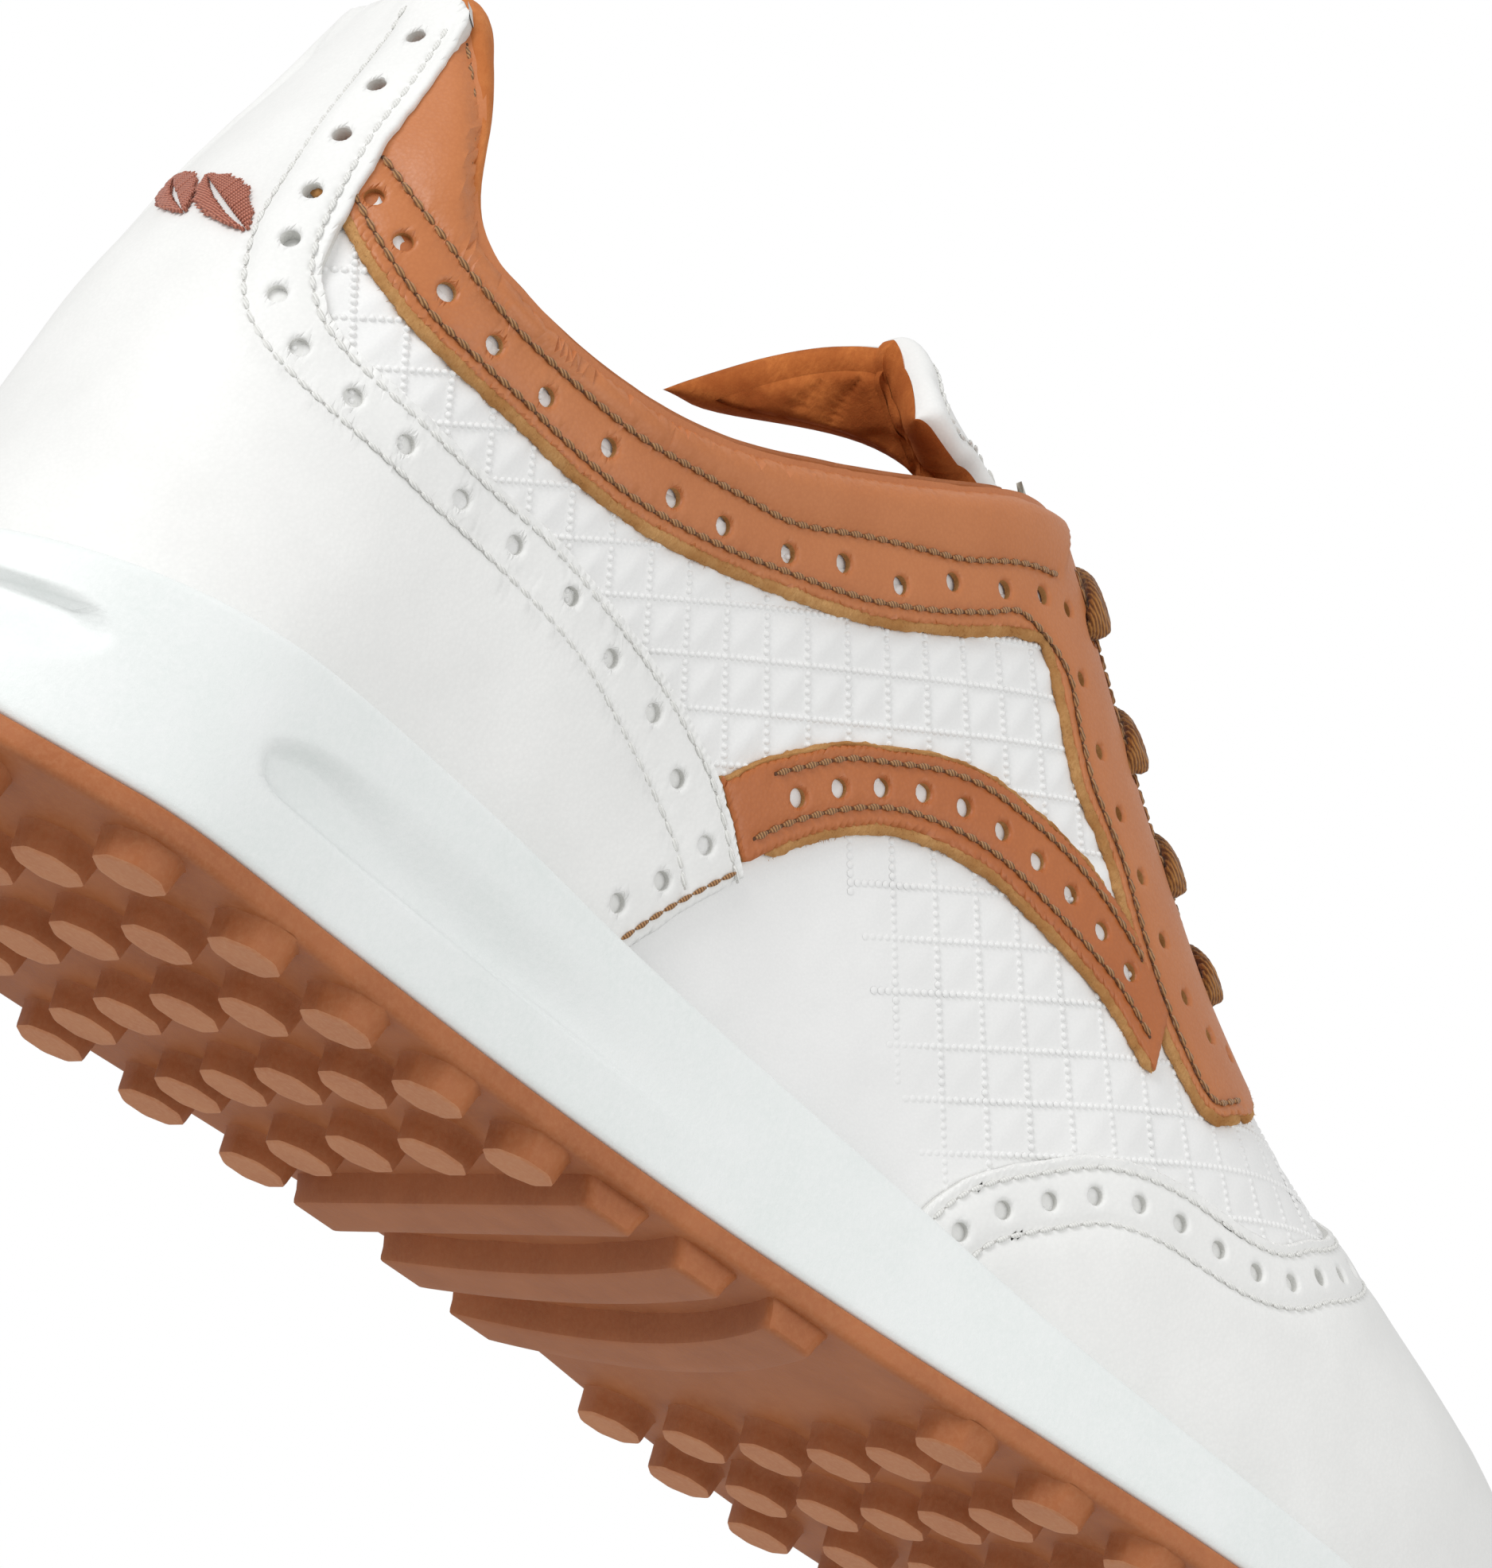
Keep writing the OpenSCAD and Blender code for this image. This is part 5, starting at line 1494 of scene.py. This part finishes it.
# ------------------------------------------------------------------ badge
def badge():
    """two leaves of satin stitch at the back of the heel"""
    b = Build()
    rs = np.random.RandomState(5)
    v, f = capsule(1.0, 0.27, 0.9, nu=7, nv=6)
    wide, turn = 2.3, 1.05
    for p0, p1 in np.array([((-8.0, -4.6), (0.6, 3.6)), ((-0.8, -2.6), (8.0, 5.6))]):
        ax = (p1 - p0) / np.linalg.norm(p1 - p0)
        nm = np.array([-ax[1], ax[0]])
        L = np.linalg.norm(p1 - p0)
        for layer in range(2):
            n = int(L / 0.44)
            for i in range(n):
                u = (i + 0.5) / n
                hw = wide * np.sin(np.pi * u ** 0.85) ** 0.8
                for sd in (-1, 1):
                    way = ax * np.cos(turn) + nm * np.sin(turn) * sd
                    ln = hw * (1.0 + 0.28 * rs.rand()) / np.sin(turn)
                    c = p0 + ax * (u * L - 0.3) + way * ln / 2
                    one_thread(b, v, f, c, way, max(0.5, ln), 0.25 + 0.22 * layer + 0.1 * rs.rand())
    ob = b.make("heel_emblem_piece", EMB, sharp=180)
    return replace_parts(ob, "heel_emblem")


def on_heel(c, o):
    """place on the back of the heel from steps across and up"""
    y, z = -5.8 + 1.38 * c[0], 79 + c[1]
    d = y + 1.1
    x = XA + 34 * (1 - max(0, 1 - (abs(d) / 28) ** 2.3) ** (1 / 2.3))
    return up(-1 if d < 0 else 1, x, t_of(x, z), o)


def one_thread(b, v, f, c, way, ln, high):
    """one stitch centred at c, as long as ln along way"""
    p, n = on_heel(c, 1.2 + high)
    q0, q1 = on_heel(c - way * 0.3, 1.2)[0], on_heel(c + way * 0.3, 1.2)[0]
    t = unit(q1 - q0)
    side = unit(np.cross(n, t))
    stamp(b, v, f, p[None], t[None] * ln, side[None], np.cross(t, side)[None], 0)


SIDES = (("lat", "lateral"), ("med", "medial"))
heel_piece()
for mode, word in SIDES:
    quarter(mode, "quarter_" + word)
vamp()
toe_cap()
for mode, word in SIDES:
    collar_band(mode, "collar_band_" + word)
for mode, word in SIDES:
    saddle(mode, "saddle_stripe_" + word)
midsole()
outsole()
footbed()
collar()
tongue()
forefoot_lining()
lace()
badge()
for node, finish in (("insole_board", BOARD), ("heel_counter", STIFF), ("toe_puff", STIFF)):
    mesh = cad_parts[node].data
    mesh.materials.clear()
    mesh.materials.append(finish)

# ------------------------------------------------------------------ camera, light, floor
cam_data = bpy.data.cameras.new("camera")
cam_data.lens = 134.2
cam_data.sensor_width = 36
cam_data.clip_end = 20
right = np.array([0.70325, -0.57905, 0.41248])
upv = np.array([-0.53692, -0.05228, 0.84201])
fwd = np.array([0.46600, 0.81361, 0.34768])


def place(name, data, x, y, z, pos):
    """an object at pos, turned to the three axes"""
    ob = bpy.data.objects.new(name, data)
    bpy.context.scene.collection.objects.link(ob)
    m = np.eye(4)
    m[:3, 0], m[:3, 1], m[:3, 2], m[:3, 3] = x, y, z, pos
    ob.matrix_world = Matrix(m.tolist())
    return ob


bpy.context.scene.camera = place("camera", cam_data, right, upv, -fwd, [-0.3494, -0.5678, -0.1770])
bpy.context.scene.view_settings.view_transform = "Standard"

# the world lights the shoe a little and looks white to the camera
world = bpy.data.worlds.new("studio")
bpy.context.scene.world = world
world.use_nodes = True
wn, wl = world.node_tree.nodes, world.node_tree.links
bg = wn["Background"]
bg.inputs[0].default_value = (1, 1, 1, 1)
bg.inputs[1].default_value = 0.62
seen = wn.new("ShaderNodeBackground")
seen.inputs[0].default_value = (1, 1, 1, 1)
seen.inputs[1].default_value = 1.0
pick = wn.new("ShaderNodeMixShader")
path = wn.new("ShaderNodeLightPath")
wl.new(path.outputs["Is Camera Ray"], pick.inputs[0])
wl.new(bg.outputs[0], pick.inputs[1])
wl.new(seen.outputs[0], pick.inputs[2])
wl.new(pick.outputs[0], wn["World Output"].inputs[0])


def area(name, rgt, hgt, away, size, power):
    """soft light placed by steps right of, above and in front of the shoe as photographed"""
    d = bpy.data.lights.new(name, "AREA")
    d.shape, d.size, d.energy = "DISK", size, power
    middle = np.array([0, 0, 0.05])
    pos = right * rgt + upv * hgt - fwd * away + middle
    z = unit(pos - middle)
    x = unit(np.cross(upv, z))
    place(name, d, x, np.cross(z, x), z, pos)


area("key", -0.5, 1.0, 0.6, 0.7, 7.5)
area("fill", 0.9, 0.1, 0.8, 0.9, 3.6)

floor_mesh = bpy.data.meshes.new("floor")
floor_mesh.from_pydata([(x, y, -1.2) for x, y in ((-6, -6), (6, -6), (6, 6), (-6, 6))], [],
                       [(0, 1, 2, 3)])
fm = Mat("floor_paper", rough=0.8)
floor_mesh.materials.append(fm.bump(fm.noise(0.3), 0.1, 0.2).done(
    fm.mix(fm.noise(0.005), (244, 244, 243), (238, 238, 237))))
floor = bpy.data.objects.new("floor", floor_mesh)
bpy.context.scene.collection.objects.link(floor)
